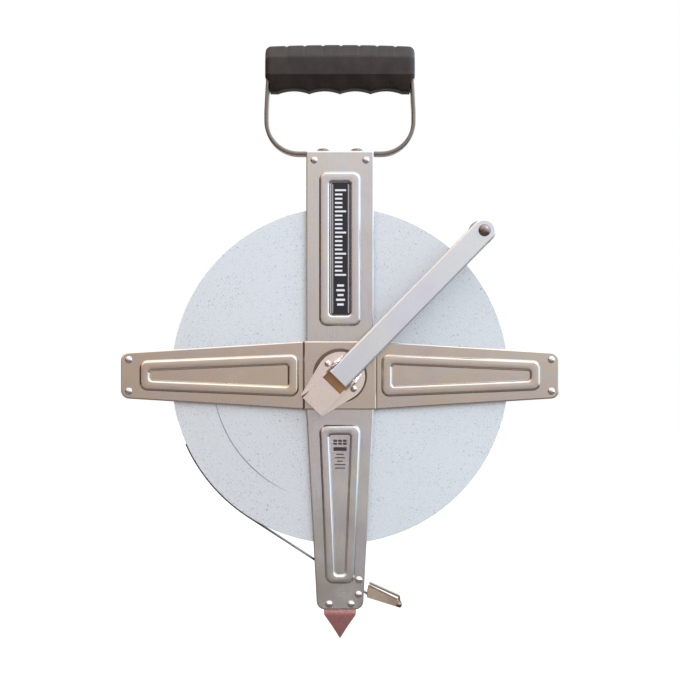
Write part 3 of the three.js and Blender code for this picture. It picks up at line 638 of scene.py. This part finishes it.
SHEET = 1.2
RIDGE_HEIGHT = 1.75
RIDGE_CROWN = 0.04
WALL = 1.95
FLOOR_RISE = 0.12
BUSH_HOLE = 18.5
END_CORNER = 6.4
ROLLED_EDGE = ((0.0, -0.62), (0.16, -0.28), (0.5, -0.08), (1.0, 0.0))  # inset and height of the plates' edges
TOP_PANEL = ((15.8, 37.3, 15.8, 154.1), (9.4, 43.9, 9.4, 147.9))  # half width and v of both ends, out and in
BOTTOM_PANEL = ((10.9, -157.3, 15.9, -37.3), (5.2, -152.2, 9.7, -43.0))
ARM_PANEL = ((11.3, -151.6, 16.3, -31.2), (5.2, -145.4, 9.8, -37.6))


def four_sided(half0, v0, half1, v1, inset, radius):
    return rounded([
        (-half0 + inset, v0 + inset, radius), (half0 - inset, v0 + inset, radius),
        (half1 - inset, v1 - inset, radius), (-half1 + inset, v1 - inset, radius),
    ])


def pressed_panel(shape, level, outer, inner, quarter_turns=0):
    """A raised rounded ridge round a sunk floor. Returns the ridge's foot, a hole in the plate."""
    def turned(loop):
        for _ in range(quarter_turns):
            loop = [Vector((-point.y, point.x)) for point in loop]
        return loop

    foot = turned(four_sided(*outer, 0, 6))
    brow = turned(four_sided(*outer, WALL, 4.2))
    inner_brow = turned(four_sided(*inner, 0, 3.6))
    floor = turned(four_sided(*inner, WALL, 1.8))

    def blend(first, second, share, height):
        loop = [a.lerp(b, share) for a, b in zip(first, second)]
        return at_height(loop, level + height)

    loops = []
    steps = 7
    shares = [step / steps for step in range(steps + 1)]
    for share in shares:
        loops.append(blend(foot, brow, share, RIDGE_HEIGHT * math.sin(share * math.pi / 2)))
    for share in (0.33, 0.67):
        loops.append(blend(brow, inner_brow, share, RIDGE_HEIGHT + RIDGE_CROWN))
    for share in shares:
        height = FLOOR_RISE + (RIDGE_HEIGHT - FLOOR_RISE) * math.cos(share * math.pi / 2)
        loops.append(blend(inner_brow, floor, share, height))
    shape.strip(loops)
    shape.level(floor, level + FLOOR_RISE)
    return foot


def upright_shape(node, place):
    low, high = face_box(node, place)
    half, foot_half = high.x, high.x - 8.1
    top_corner, taper_bend = 0.8, 60
    taper_from = face_box("front_cross_plate")[0].y

    def outline(inset):
        side, foot, top = half - inset, foot_half - inset, high.y - inset
        bottom, corner = low.y + inset, END_CORNER - inset
        return rounded([
            (-side, top, top_corner), (-side, taper_from, taper_bend), (-foot, bottom, corner),
            (foot, bottom, corner), (side, taper_from, taper_bend), (side, top, top_corner),
        ])

    level = low.z + SHEET
    shape = Shape().strip([at_height(outline(inset), level + drop) for inset, drop in ROLLED_EDGE])
    holes = [pressed_panel(shape, level, *panel) for panel in (TOP_PANEL, BOTTOM_PANEL)]
    shape.level(outline(ROLLED_EDGE[-1][0]), level, [*holes, circle(0, 0, BUSH_HOLE, 64)])
    return shape


def cross_shape(node, place):
    """Two arms and a middle that steps forward over the upright."""
    low, high = face_box(node, place)
    level = low.z + SHEET
    reach, root_half = high.x, high.y
    end_half = root_half - 8.6
    step_in, step_out, steps = 26.4, 27.8, 6
    rise = 1.5
    joggle = [step_out + (step_in - step_out) * step / steps for step in range(steps + 1)]

    def half_at(u, inset):
        return root_half - inset + (end_half - root_half) * (abs(u) - step_in) / (reach - step_in)

    def height_at(u):
        share = min(max((abs(u) - step_in) / (step_out - step_in), 0), 1)
        return level + rise * (1 - share * share * (3 - 2 * share))

    def arm(inset):
        """An arm's outline from the lower end of its root to the upper one."""
        root, end = half_at(step_out, inset), half_at(reach, inset)
        tip, corner = reach - inset, END_CORNER - inset
        corners = [(step_out, -root), (tip, -end, corner), (tip, end, corner), (step_out, root)]
        return rounded(corners, closed=False)

    def outline(inset, drop):
        whole = [*arm(inset), *(Vector((u, half_at(u, inset))) for u in joggle[1:])]
        whole += [Vector((-point.x, point.y)) for point in whole[::-1] if point.y > 0]
        whole += [Vector((-point.x, point.y)) for point in arm(inset)[::-1] if point.y < 0]
        whole += [Vector((-u, -half_at(u, inset))) for u in joggle[1:]]
        whole += [Vector((u, -half_at(u, inset))) for u in joggle[:0:-1]]
        return [Vector((point.x, point.y, height_at(point.x) + drop)) for point in whole]

    shape = Shape().strip([outline(inset, drop) for inset, drop in ROLLED_EDGE])
    inset = ROLLED_EDGE[-1][0]
    root = half_at(step_in, inset)
    middle = [Vector((u * step_in, v * root)) for u, v in SQUARE]
    shape.level(middle, level + rise, [circle(0, 0, BUSH_HOLE, 64)])
    for side, quarter_turns in ((-1, 3), (1, 1)):
        edges = [(side * u, half_at(u, inset), height_at(u)) for u in joggle]
        shape.strip([[Vector((u, -v, w)), Vector((u, v, w))] for u, v, w in edges], closed=False)
        foot = pressed_panel(shape, level, *ARM_PANEL, quarter_turns)
        shape.level([Vector((side * point.x, point.y)) for point in arm(inset)][::side], level, [foot])
    return shape


def flipped(shape, is_wrong):
    """Reverses each face whose corners fail a test."""
    for index, face in enumerate(shape.faces):
        if is_wrong([shape.verts[i] for i in face]):
            shape.faces[index] = face[::-1]
    return shape


def looks_into_plate(corners):
    return sum(a.x * b.y - b.x * a.y for a, b in zip(corners, corners[1:] + corners[:1])) < 0


for side, place in (("front", FRONT), ("rear", REAR)):
    for kind, builder, steel in (("upright", upright_shape, STEEL), ("cross", cross_shape, STEEL_ACROSS)):
        node = f"{side}_{kind}_plate"
        pressing = flipped(builder(node, place), looks_into_plate)
        piece(f"{side}_{kind}_pressing", pressing, steel, node, place=place, bevel=0.25, sheet=SHEET)


# ------------ label and printed marks

def block(u0, u1, v0, v1, w0, w1, radius=0.0):
    corners = [(u0, v0, radius), (u1, v0, radius), (u1, v1, radius), (u0, v1, radius)]
    return prism(rounded(corners, steps=5), w0, w1)


def printed(rectangles, low, high):
    """Thin marks on the rectangles (u0, u1, v0, v1)."""
    whole = Shape()
    for rectangle in rectangles:
        mark = block(*rectangle, low, high)
        first = len(whole.faces)
        whole.add(mark.verts, mark.faces)
        whole.flat |= {first + index for index in mark.flat}
    return whole


SUNK, PROUD = 0.02, 0.04  # how far a mark reaches into and out of its face
low, high = face_box("front_label")
label_face, label_top = high.z - 0.06, high.z
film = block(low.x, high.x, low.y, high.y, low.z - 0.1, label_face, 0.8)
piece("front_label_film", film, LABEL_BLACK, "front_label")

stripes = [(u - 0.32, u + 0.32, low.y + 1.2, high.y - 1.2) for u in (low.x + 1.0, high.x - 1.0)]
piece("front_label_stripes", printed(stripes, label_face - SUNK, label_top), PRINT_SILVER)

ticks = []
middle = (low.x + high.x) / 2
tick_start, tick_pitch, tick_count, tick_half = low.y + 30, 3.2, 21, 0.7
for index in range(tick_count):
    length = 8.4 if index % 5 == 0 else 5.6
    v = tick_start + index * tick_pitch
    ticks.append((middle - 4.2, middle - 4.2 + length, v - tick_half, v + tick_half))
for index, width in enumerate((5.2, 6.4, 4.6, 6.8, 5.0)):
    v = low.y + 22 - index * 3.6
    ticks.append((middle - width / 2, middle + width / 2, v - 0.8, v + 0.8))
piece("front_label_scale", printed(ticks, label_face - SUNK, label_top), PRINT_WHITE)

marks = []
for column in (-3.6, 0.0, 3.6):
    for row in (-49.4, -51.6):
        marks.append((column - 1.4, column + 1.4, row - 0.8, row + 0.8))
marks.append((-5.0, 5.0, -57.0, -54.2))
for index, width in enumerate((5.5, 7.5, 4.0, 8.2, 7.6)):
    v = -59.6 - 2.6 * index
    marks.append((-width / 2, width / 2, v - 0.4, v + 0.4))
plate_face = face_box("front_upright_plate")[0].z + SHEET
floor_level = plate_face + FLOOR_RISE
piece("capacity_marks", printed(marks, floor_level - SUNK, floor_level + PROUD), PRINT_BLACK)


# ------------ wound tape, drum and bearings

def wound_tape():
    """A ring whose faces are the edges of its turns, each a little proud or shy of the next."""
    high = face_box("wound_tape")[1]
    outer, inner, half = high.x, 35.3, high.z
    turns, chamfer, most_shy = 92, 0.10, 0.007
    pitch = (outer - inner) / turns
    sides = []
    for sign in (1, -1):
        profile = []
        for turn in range(turns):
            r = outer - turn * pitch
            level = half - random.uniform(0.0, most_shy)
            profile.append((r - 0.02 * pitch, sign * (level - chamfer)))
            profile.append((r - 0.25 * pitch, sign * level))
            profile.append((r - 0.80 * pitch, sign * level))
        sides.append(profile)
    rim = [(outer, -half + 0.5), (outer, half - 0.5)]
    bore = [(inner, half - 0.3), (inner, -half + 0.3)]
    return spun([*rim, *sides[0], *bore, *sides[1][::-1], rim[0]], 160)


def drum():
    high = face_box("hub_drum")[1]
    boss, reach, rim = 16.5, high.z, high.x
    recess, edge, half = boss - 4, 7.8, 6.8
    front = [
        (boss - 0.5, reach), (boss, reach - 0.5), (boss, edge + 0.6), (boss + 0.6, edge), (rim - 0.3, edge),
        (rim, edge - 0.3), (rim, half), (rim - 1.5, half),
    ]
    rear = [(r, -w) for r, w in front[::-1]]
    return spun([(0, reach), (recess, reach), *front, *rear, (recess, -reach), (0, -reach)], 96)


piece("wound_tape_roll", wound_tape(), TAPE, "wound_tape", "reel", sharp=60)
piece("hub_drum_turned", drum(), BRONZE, "hub_drum", "reel", sharp=30)

for side, place in (("front", FRONT), ("rear", REAR)):
    low, high, _, lip = round_box(f"{side}_bush", place)
    bore, sleeve, seat = 16.62, 18.2, high.z - 1.0
    profile = [(bore, low.z), (sleeve, low.z), (sleeve, seat), (lip, seat), (lip, high.z - 0.4),
               (lip - 0.4, high.z), (bore + 0.3, high.z), (bore, high.z - 0.3), (bore, low.z)]
    # Dark brown as painted shadow round the hub's disc.
    piece(f"{side}_bush_ring", spun(profile, 96), BUSH_NYLON_PAINTED_SHADOW, f"{side}_bush", place=place, sharp=30)

low, high, _, rim = round_box("rear_retainer", REAR)
recess = high.z - 0.5
disc = [(0, low.z), (rim, low.z), (rim, high.z - 0.3), (rim - 0.3, high.z), (7.5, high.z), (6.5, recess),
        (0, recess)]
piece("rear_retainer_disc", spun(disc, 72), BRACKET_STEEL, "rear_retainer", "reel", REAR, sharp=20)


# ------------ rivets, rollers and spacers

def double_rivet(shank, head, height, seat_front, seat_rear):
    """A rivet with a domed head at each end and a small flat rim under each dome."""
    rim = 0.25

    def head_profile(seat):
        return [(head, seat), (head, seat + rim), *dome(head * 0.97, height - rim, seat + rim)]

    rear = [(r, -w) for r, w in head_profile(seat_rear)[::-1]]
    return spun([*rear, (shank, -seat_rear), (shank, seat_front), *head_profile(seat_front)], 32)


def seated_rivet(node, shank, seat, body="frame"):
    """A rivet whose heads lie on faces at seat and -seat."""
    _, high, at, head = round_box(node)
    shape = double_rivet(shank, head, high.z - seat, seat, seat)
    piece(f"{node}_domed", moved(shape, at.x, at.y), BRIGHT, node, body, sharp=50)


ARM_PLACES = ("left_upper", "left_lower", "right_upper", "right_lower")
UPRIGHT_PLACES = ("top_left", "foot_left", "top_right", "foot_right", "upper_guide", "lower_guide")
for where in (*ARM_PLACES, *UPRIGHT_PLACES):
    seated_rivet(f"{where}_rivet", shank=1.6, seat=plate_face)

for where in ARM_PLACES:
    node = f"{where}_spacer"
    low, high, at, outer = round_box(node)
    bore = 1.9
    tube = [(bore, low.z + 0.2), (outer - 0.3, low.z), (outer, low.z + 0.4), (outer, high.z - 0.4),
            (outer - 0.3, high.z), (bore, high.z - 0.2), (bore, low.z + 0.2)]
    piece(f"{node}_tube", moved(spun(tube, 32), at.x, at.y), ALLOY, node)

for level in ("upper", "lower"):
    node = f"{level}_guide_roller"
    low, high, at, outer = round_box(node)
    bore, waist, flange, slope_end = 1.72, outer - 0.35, 1.0, 1.5
    roller = [(bore, low.z), (outer - 0.2, low.z), (outer, low.z + 0.2), (outer, low.z + flange),
              (waist, low.z + slope_end), (waist, high.z - slope_end), (outer, high.z - flange),
              (outer, high.z - 0.2), (outer - 0.2, high.z), (bore, high.z), (bore, low.z)]
    piece(f"{node}_turned", moved(spun(roller, 40), at.x, at.y), NYLON, node, f"{level}_roller")

BRACKET_FACE = 15.2
for level in ("upper", "lower"):
    seated_rivet(f"{level}_hub_rivet", shank=1.4, seat=BRACKET_FACE, body="reel")


# ------------ crank

pin = CRANK.inverted() @ Vector(JOINTS["crank_fold"]["pos_m"])
knob = CRANK.inverted() @ Vector(JOINTS["knob_spin"]["pos_m"])


def crank_bracket():
    """A hat-section pressing: two wings on a round base, walls that rise to ears, and a raised web."""
    low = face_box("crank_bracket", CRANK)[0]
    inner, outer = 9.1, 10.4
    radius, wing, ear_end, ear_radius = 18.4, 11.3, 12.0, 4.2
    end, web_end, web, sheet = low.x, -9.9, 22.5, 1.3
    base, face = low.z, low.z + sheet
    tangent = math.atan2(wing, end) - math.acos(radius / math.hypot(end, wing))
    steps, hole_radius = 48, 2.15
    arc = [tangent * (2 * step / steps - 1) for step in range(steps + 1)]
    outline = [
        Vector((end + 0.6, -wing - 0.2)), *(polar(radius, angle) for angle in arc),
        Vector((end + 0.6, wing + 0.2)), Vector((end, wing - 0.5)), Vector((end, -wing + 0.5)),
    ]
    top = pin.z + ear_radius
    side = rounded([
        (end, base), (ear_end, base), (ear_end, pin.z - 8, 2), (pin.x + 5, top, ear_radius),
        (pin.x - 5, top, ear_radius), (pin.x - 8.2, web, 2), (end, web),
    ])
    made = piece("crank_bracket_pressing", prism(outline, base, face), BRACKET_STEEL, "crank_bracket", "reel",
                 CRANK, bevel=0.3)
    slot = block(end - 1, ear_end + 0.3, -inner, inner, base - 1, face + 1)
    combine(made, slot, "DIFFERENCE", CRANK)
    combine(made, cross_prism(side, inner, outer), "UNION", CRANK)
    combine(made, cross_prism(side, -outer, -inner), "UNION", CRANK)
    combine(made, block(end, web_end, -outer, outer, web - sheet, web), "UNION", CRANK)
    hole = spun([(0, -20), (hole_radius, -20), (hole_radius, 20), (0, 20)], 32)
    combine(made, moved(hole, pin.x, 0, pin.z, turn=UPRIGHT_TURN), "DIFFERENCE", CRANK)


def arm_loop(inset):
    """The arm's outline from one corner of the tail round the knob's end to the other."""
    low, high = face_box("crank_arm", CRANK)
    tail, shoulder = low.x, low.x + 30
    end_half, tail_half = high.y - inset, 8.8 - inset
    points = [Vector((tail, -tail_half)), Vector((shoulder, -tail_half + 0.02))]
    steps = 28
    points += [polar(end_half, math.pi * (step / steps - 0.5), knob.x) for step in range(steps + 1)]
    return [*points, Vector((shoulder, tail_half - 0.02)), Vector((tail, tail_half))]


def looks_into_arm(corners):
    middle = sum(corners, Vector()) / len(corners)
    normal = (corners[1] - corners[0]).cross(corners[2] - corners[1])
    return normal.dot(middle - Vector((min(middle.x, knob.x), 0, pin.z))) < 0


def crank_arm():
    """A channel: a flat face whose edges bend back into walls that are deeper at the tail."""
    low, high = face_box("crank_arm", CRANK)
    face, bend, wall = high.z, 1.5, high.z - 6.0
    base = arm_loop(0)
    loops = [at_height(base, wall), at_height(base, wall * 0.5 + (face - bend) * 0.5)]
    steps = 6
    for step in range(steps + 1):
        angle = math.pi / 2 * step / steps
        loops.append(at_height(arm_loop(bend * (1 - math.cos(angle))), face - bend * (1 - math.sin(angle))))
    shape = Shape().strip(loops, closed=False)
    shape.level(arm_loop(bend), face)
    for vert in shape.verts:
        if vert.x < low.x + 0.1 and vert.z < wall + 0.1:
            vert.z = low.z
    return flipped(shape, looks_into_arm)


crank_bracket()
_, high, _, head = round_box("crank_hinge_pin", CRANK)
height = 1.0
seat = high.y - height
hinge = moved(double_rivet(2.0, head, height, seat, seat), pin.x, 0, pin.z, turn=UPRIGHT_TURN)
piece("crank_hinge_pin_headed", hinge, BRIGHT, "crank_hinge_pin", "reel", CRANK, sharp=50)
piece("crank_arm_channel", crank_arm(), ARM_STEEL, "crank_arm", "crank", CRANK, bevel=0.15, sheet=1.3)

low, high = face_box("knob_washer", CRANK)
washer = [(3.2, low.z), (6.0, low.z), (6.0, high.z - 0.2), (5.8, high.z), (3.2, high.z), (3.2, low.z)]
piece("knob_washer_turned", moved(spun(washer, 40), knob.x), BRIGHT, "knob_washer", "crank", CRANK)

low, high = face_box("knob_spindle", CRANK)
shank, head = 3.0, 4.5
arm_face = face_box("crank_arm", CRANK)[1].z
head_rim = arm_face + 0.3
spindle = [(0, low.z), (3.4, low.z), (4.4, low.z + 1.2), (head, low.z + 1.8), (shank, low.z + 2),
           (shank, arm_face - 0.5), (head, arm_face + 0.05), (head + 0.05, head_rim),
           *dome(head - 0.05, high.z - arm_face - 0.3, head_rim, 12)]
spindle = moved(spun(spindle, 48), knob.x)
piece("knob_spindle_headed", spindle, DARK_STEEL, "knob_spindle", "crank", CRANK, sharp=50)


def knob_body():
    low, high, _, end = round_box("crank_knob", CRANK)
    neck, bore, recess = 8.3, 3.14, 6.0
    profile = rounded([
        (bore, low.z + 4), (recess, low.z + 4), (recess, low.z, 0.5), (end, low.z, 2.4), (end, low.z + 8, 12),
        (neck, high.z - 16, 20), (neck, high.z, 1.3), (bore, high.z),
    ], closed=False, steps=10)
    return moved(spun([*profile, profile[0]], 56), knob.x)


piece("crank_knob_moulding", knob_body(), KNOB_PLASTIC, "crank_knob", "knob", CRANK, sharp=40)


# ------------ handle

STRAP = 3.0


def strap_line():
    """The strap's middle line, from one end inside the grip, round the base, to the other."""
    low, high = face_box("handle_strap")
    top, bottom, half = high.y - STRAP / 2, low.y + STRAP / 2, high.x - STRAP / 2
    right = [(half, bottom, 24.5), (half, 200, 30), (54.8, 220, 20), (53.4, top, 6), (32, top)]
    left = [(-u, *rest) for u, *rest in right[::-1]]
    return rounded([*left, *right], closed=False, steps=14)


def grip_body():
    """A lofted oval with finger scallops below and shallow notches across the top."""
    low, high = face_box("handle_grip")
    half, depth = high.x, high.z
    middle, margin, end_radius, crown_height = 230.9, 0.15, 4.5, 1.3
    notch_pitch, notch_depth, notch_width, notch_shift, notch_reach = 13.7, 0.75, 1.1, 0.8, 3.5
    notch_from, scallop_from = 0.35, 0.25
    scallop_pitch, scallop_depth, scallop_count, scallop_power = 23.5, 2.3, 4, 0.8
    half_section = [(0.50, 1, 0.16), (0.93, 0.51, 0.22), (1.0, -0.23, 0.05), (0.66, -1, 0.22)]
    mirrored = [(-across, up, radius) for across, up, radius in half_section[::-1]]
    section = rounded([*half_section, *mirrored], steps=6)
    stations = 240
    loops = []
    for station in range(stations + 1):
        u = -half + 2 * half * station / stations
        over = max(abs(u) - (half - end_radius), 0)
        inset = end_radius - math.sqrt(max(end_radius ** 2 - over ** 2, 0))
        nearest = round(u / notch_pitch) * notch_pitch
        notch = scallop = 0.0
        if abs(nearest) < notch_reach * notch_pitch:
            notch = notch_depth * math.exp(-((u - nearest - notch_shift) / notch_width) ** 2)
        if abs(u) < scallop_count / 2 * scallop_pitch:
            scallop = scallop_depth * abs(math.sin(math.pi * u / scallop_pitch)) ** scallop_power
        top = high.y - margin - crown_height * (u / half) ** 2 - inset
        bottom = low.y + margin + inset * 0.6
        ring = []
        for across, up in section:
            if up >= 0:
                v = middle + up * (top - middle)
                v -= notch * max(up - notch_from, 0) / (1 - notch_from)
            else:
                v = middle + up * (middle - bottom)
                v += scallop * max(-up - scallop_from, 0) / (1 - scallop_from)
            ring.append(Vector((u, v, across * (depth - 0.1 - inset))))
        loops.append(ring)
    return capped(loops)


def capped(loops, flat=False):
    """A loft through the loops, closed at both ends."""
    shape = Shape().strip(loops)
    corners = tuple(range(len(loops[0])))
    shape.add(loops[0], [corners], flat)
    return shape.add(loops[-1], [corners[::-1]], flat)


low, high = face_box("handle_strap")
strap = prism(ribbon(strap_line(), STRAP), low.z, high.z)
piece("handle_strap_bent", strap, STRAP_STEEL, "handle_strap", bevel=0.95)
grip = piece("handle_grip_moulding", grip_body(), GRIP_RUBBER, "handle_grip", sharp=40)
for sign in (-1, 1):
    inner, outer, ledge, bottom, ceiling = sign * 53, sign * 62, sign * 56.3, 205, 225.6
    recess = [(inner, bottom), (outer, bottom), (outer, ceiling), (ledge, ceiling, 1.5), (inner, 221, 1)]
    combine(grip, prism(rounded(recess[::sign]), -25, 25), "DIFFERENCE")

for side in ("left", "right"):
    low, high, at, head = round_box(f"handle_{side}_screw")
    shank, seat, rim = 2.0, high.y - 1.8, 0.25
    profile = [(0, low.y), (shank - 0.4, low.y), (shank, low.y + 0.5), (shank, seat), (head, seat),
               (head, seat + rim), *dome(head * 0.97, 1.55, seat + rim, 10)]
    screw = spun(profile, 40)
    low, high, _, outer = round_box(f"handle_{side}_washer")
    bore = 2.3
    profile = [(bore, low.y), (outer, low.y), (outer, low.y + 0.3), (outer - 0.9, high.y), (bore, high.y),
               (bore, low.y)]
    washer = spun(profile, 48)
    low, high = face_box(f"handle_{side}_nut")
    nut = prism(circle(0, 0, 3.98, 6), low.y, high.y, [circle(0, 0, bore, 24)])
    for kind, finish, shape, steel, sharp, bevel in (
        ("screw", "domed", screw, DARK_STEEL, 50, 0.0),
        ("washer", "turned", washer, DARK_STEEL, 35, 0.0),
        ("nut", "hexagon", nut, BRIGHT, 35, 0.25),
    ):
        node = f"handle_{side}_{kind}"
        moved(shape, at.x, 0, turn=UPRIGHT_TURN)
        piece(f"{node}_{finish}", shape, steel, node, sharp=sharp, bevel=bevel)


# ------------ spacer block and ground spike

block_mesh = frame["nodes"]["top_spacer"]  # keeps its CAD mesh, with rounded edges
block_mesh.data.materials.clear()
block_mesh.data.materials.append(ALLOY.material)
round_edges(block_mesh, 0.4, 2, 50)


def spike():
    low, high = face_box("ground_spike")
    half, depth, corner = high.x, high.z, 0.8
    shoulder = -179.5
    waist = (shoulder + low.y) / 2 - 0.6
    plan = rounded([(u * half, w * depth, corner) for u, w in SQUARE], steps=4)
    levels = (
        (0.985, high.y), (1.0, high.y - 0.4), (1.0, shoulder), (1.0, shoulder - 1.6), (0.965, shoulder - 2.2),
        (0.5, waist), (0.07, low.y + 0.9), (0.03, low.y + 0.1),
    )
    return capped([[Vector((p.x * scale, v, p.y * scale)) for p in plan] for scale, v in levels], flat=True)


piece("ground_spike_forged", spike(), SPIKE_STEEL, "ground_spike", sharp=30)


# ------------ tape's free end and hook

LEAD = 0.6
CLEARANCE = 0.3
HOOK_SHEET = 1.0
HOOK_FLOOR = (Vector((20.5, -167.7)), Vector((38.3, -173.2)))
EYE = FRONT.inverted() @ Vector(JOINTS["hook_swing"]["pos_m"])


def tape_lead():
    """From the roll at a tangent, over the lower roller, and along the hook's floor."""
    _, _, at, roller_radius = round_box("lower_guide_roller")
    roller = at.xy
    radius = face_box("wound_tape")[1].x + CLEARANCE + LEAD / 2
    over = roller_radius + CLEARANCE + LEAD / 2
    tangent = math.atan2(roller.y, roller.x) - math.acos((radius + over) / roller.length)
    guide = roller - polar(1, tangent) * over
    wrap, steps = math.radians(33), 32
    points = [polar(radius, tangent - wrap + wrap * step / steps) for step in range(steps + 1)]
    along = (guide - points[-1]).normalized()
    start, end = HOOK_FLOOR
    run = (end - start).normalized()
    rise = Vector((-run.y, run.x))
    lift = HOOK_SHEET / 2 + CLEARANCE + LEAD / 2
    bend = guide + along * ((start + rise * lift - guide).dot(rise) / along.dot(rise))
    rivet_along, end_along = 4.5, 8
    corners = [*(tuple(point) for point in points), (bend.x, bend.y, 3), tuple(bend + run * end_along)]
    return rounded(corners, closed=False), bend + run * rivet_along, run


def hook_body():
    """Two cheeks with the pin's hole, joined by a floor."""
    outer = face_box("hook_body")[1].z
    inner = outer - HOOK_SHEET
    cheek = rounded([
        (21.7, -159.9, 0.8), (20.2, -168.1, 0.8), (41.3, -174.7, 6), (EYE.x + 1.4, EYE.y - 2.7, 1.6),
        (EYE.x + 2.9, EYE.y, 2.2), (EYE.x + 0.6, EYE.y + 2.8, 1.6), (42.9, -170.4, 3),
    ])
    hole = [circle(EYE.x, EYE.y, 1.5, 32)]
    made = piece("hook_body_folded", prism(cheek, inner, outer, hole), HOOK_STEEL, "hook_body", bevel=0.2)
    combine(made, prism(cheek, -outer, -inner, hole), "UNION")
    combine(made, prism(ribbon(HOOK_FLOOR, HOOK_SHEET), -outer + 0.2, outer - 0.2), "UNION")


def hook_claw():
    """A barrel round the pin and a blade that lies back over the hook's body."""
    low, high = face_box("hook_claw")
    barrel = prism(circle(EYE.x, EYE.y, 2.45, 40), low.z, high.z, [circle(EYE.x, EYE.y, 1.32, 32)])
    root = EYE.x + 0.6
    blade = rounded([(root, EYE.y + 1.9), (root, EYE.y + 5.6, 1.4), (22.6, -157.9)], closed=False)
    made = piece("hook_claw_bent", barrel, CLAW_STEEL, "hook_claw", "claw", bevel=0.2)
    combine(made, prism(ribbon(blade, 1.4), low.z, high.z), "UNION")


lead_line, rivet_at, run = tape_lead()
low, high = face_box("tape_lead")
lead = prism(ribbon(lead_line, LEAD), low.z, high.z)
piece("tape_lead_strip", lead, LEAD_COAT, "tape_lead", bevel=0.12)

tilt = Matrix.Rotation(math.atan2(run.y, run.x), 3, "Z") @ UPRIGHT_TURN
small_rivet = moved(double_rivet(0.9, 1.9, 0.8, 0.35, 1.5), rivet_at.x, rivet_at.y, turn=tilt)
piece("tape_end_rivet_domed", small_rivet, BRIGHT, "tape_end_rivet", sharp=50)
hook_body()

_, high, _, head = round_box("hook_pin")
seat = face_box("hook_body")[1].z
hook_pin = moved(double_rivet(1.2, head, high.z - seat, seat, seat), EYE.x, EYE.y)
piece("hook_pin_headed", hook_pin, DARK_STEEL, "hook_pin", sharp=50)
hook_claw()
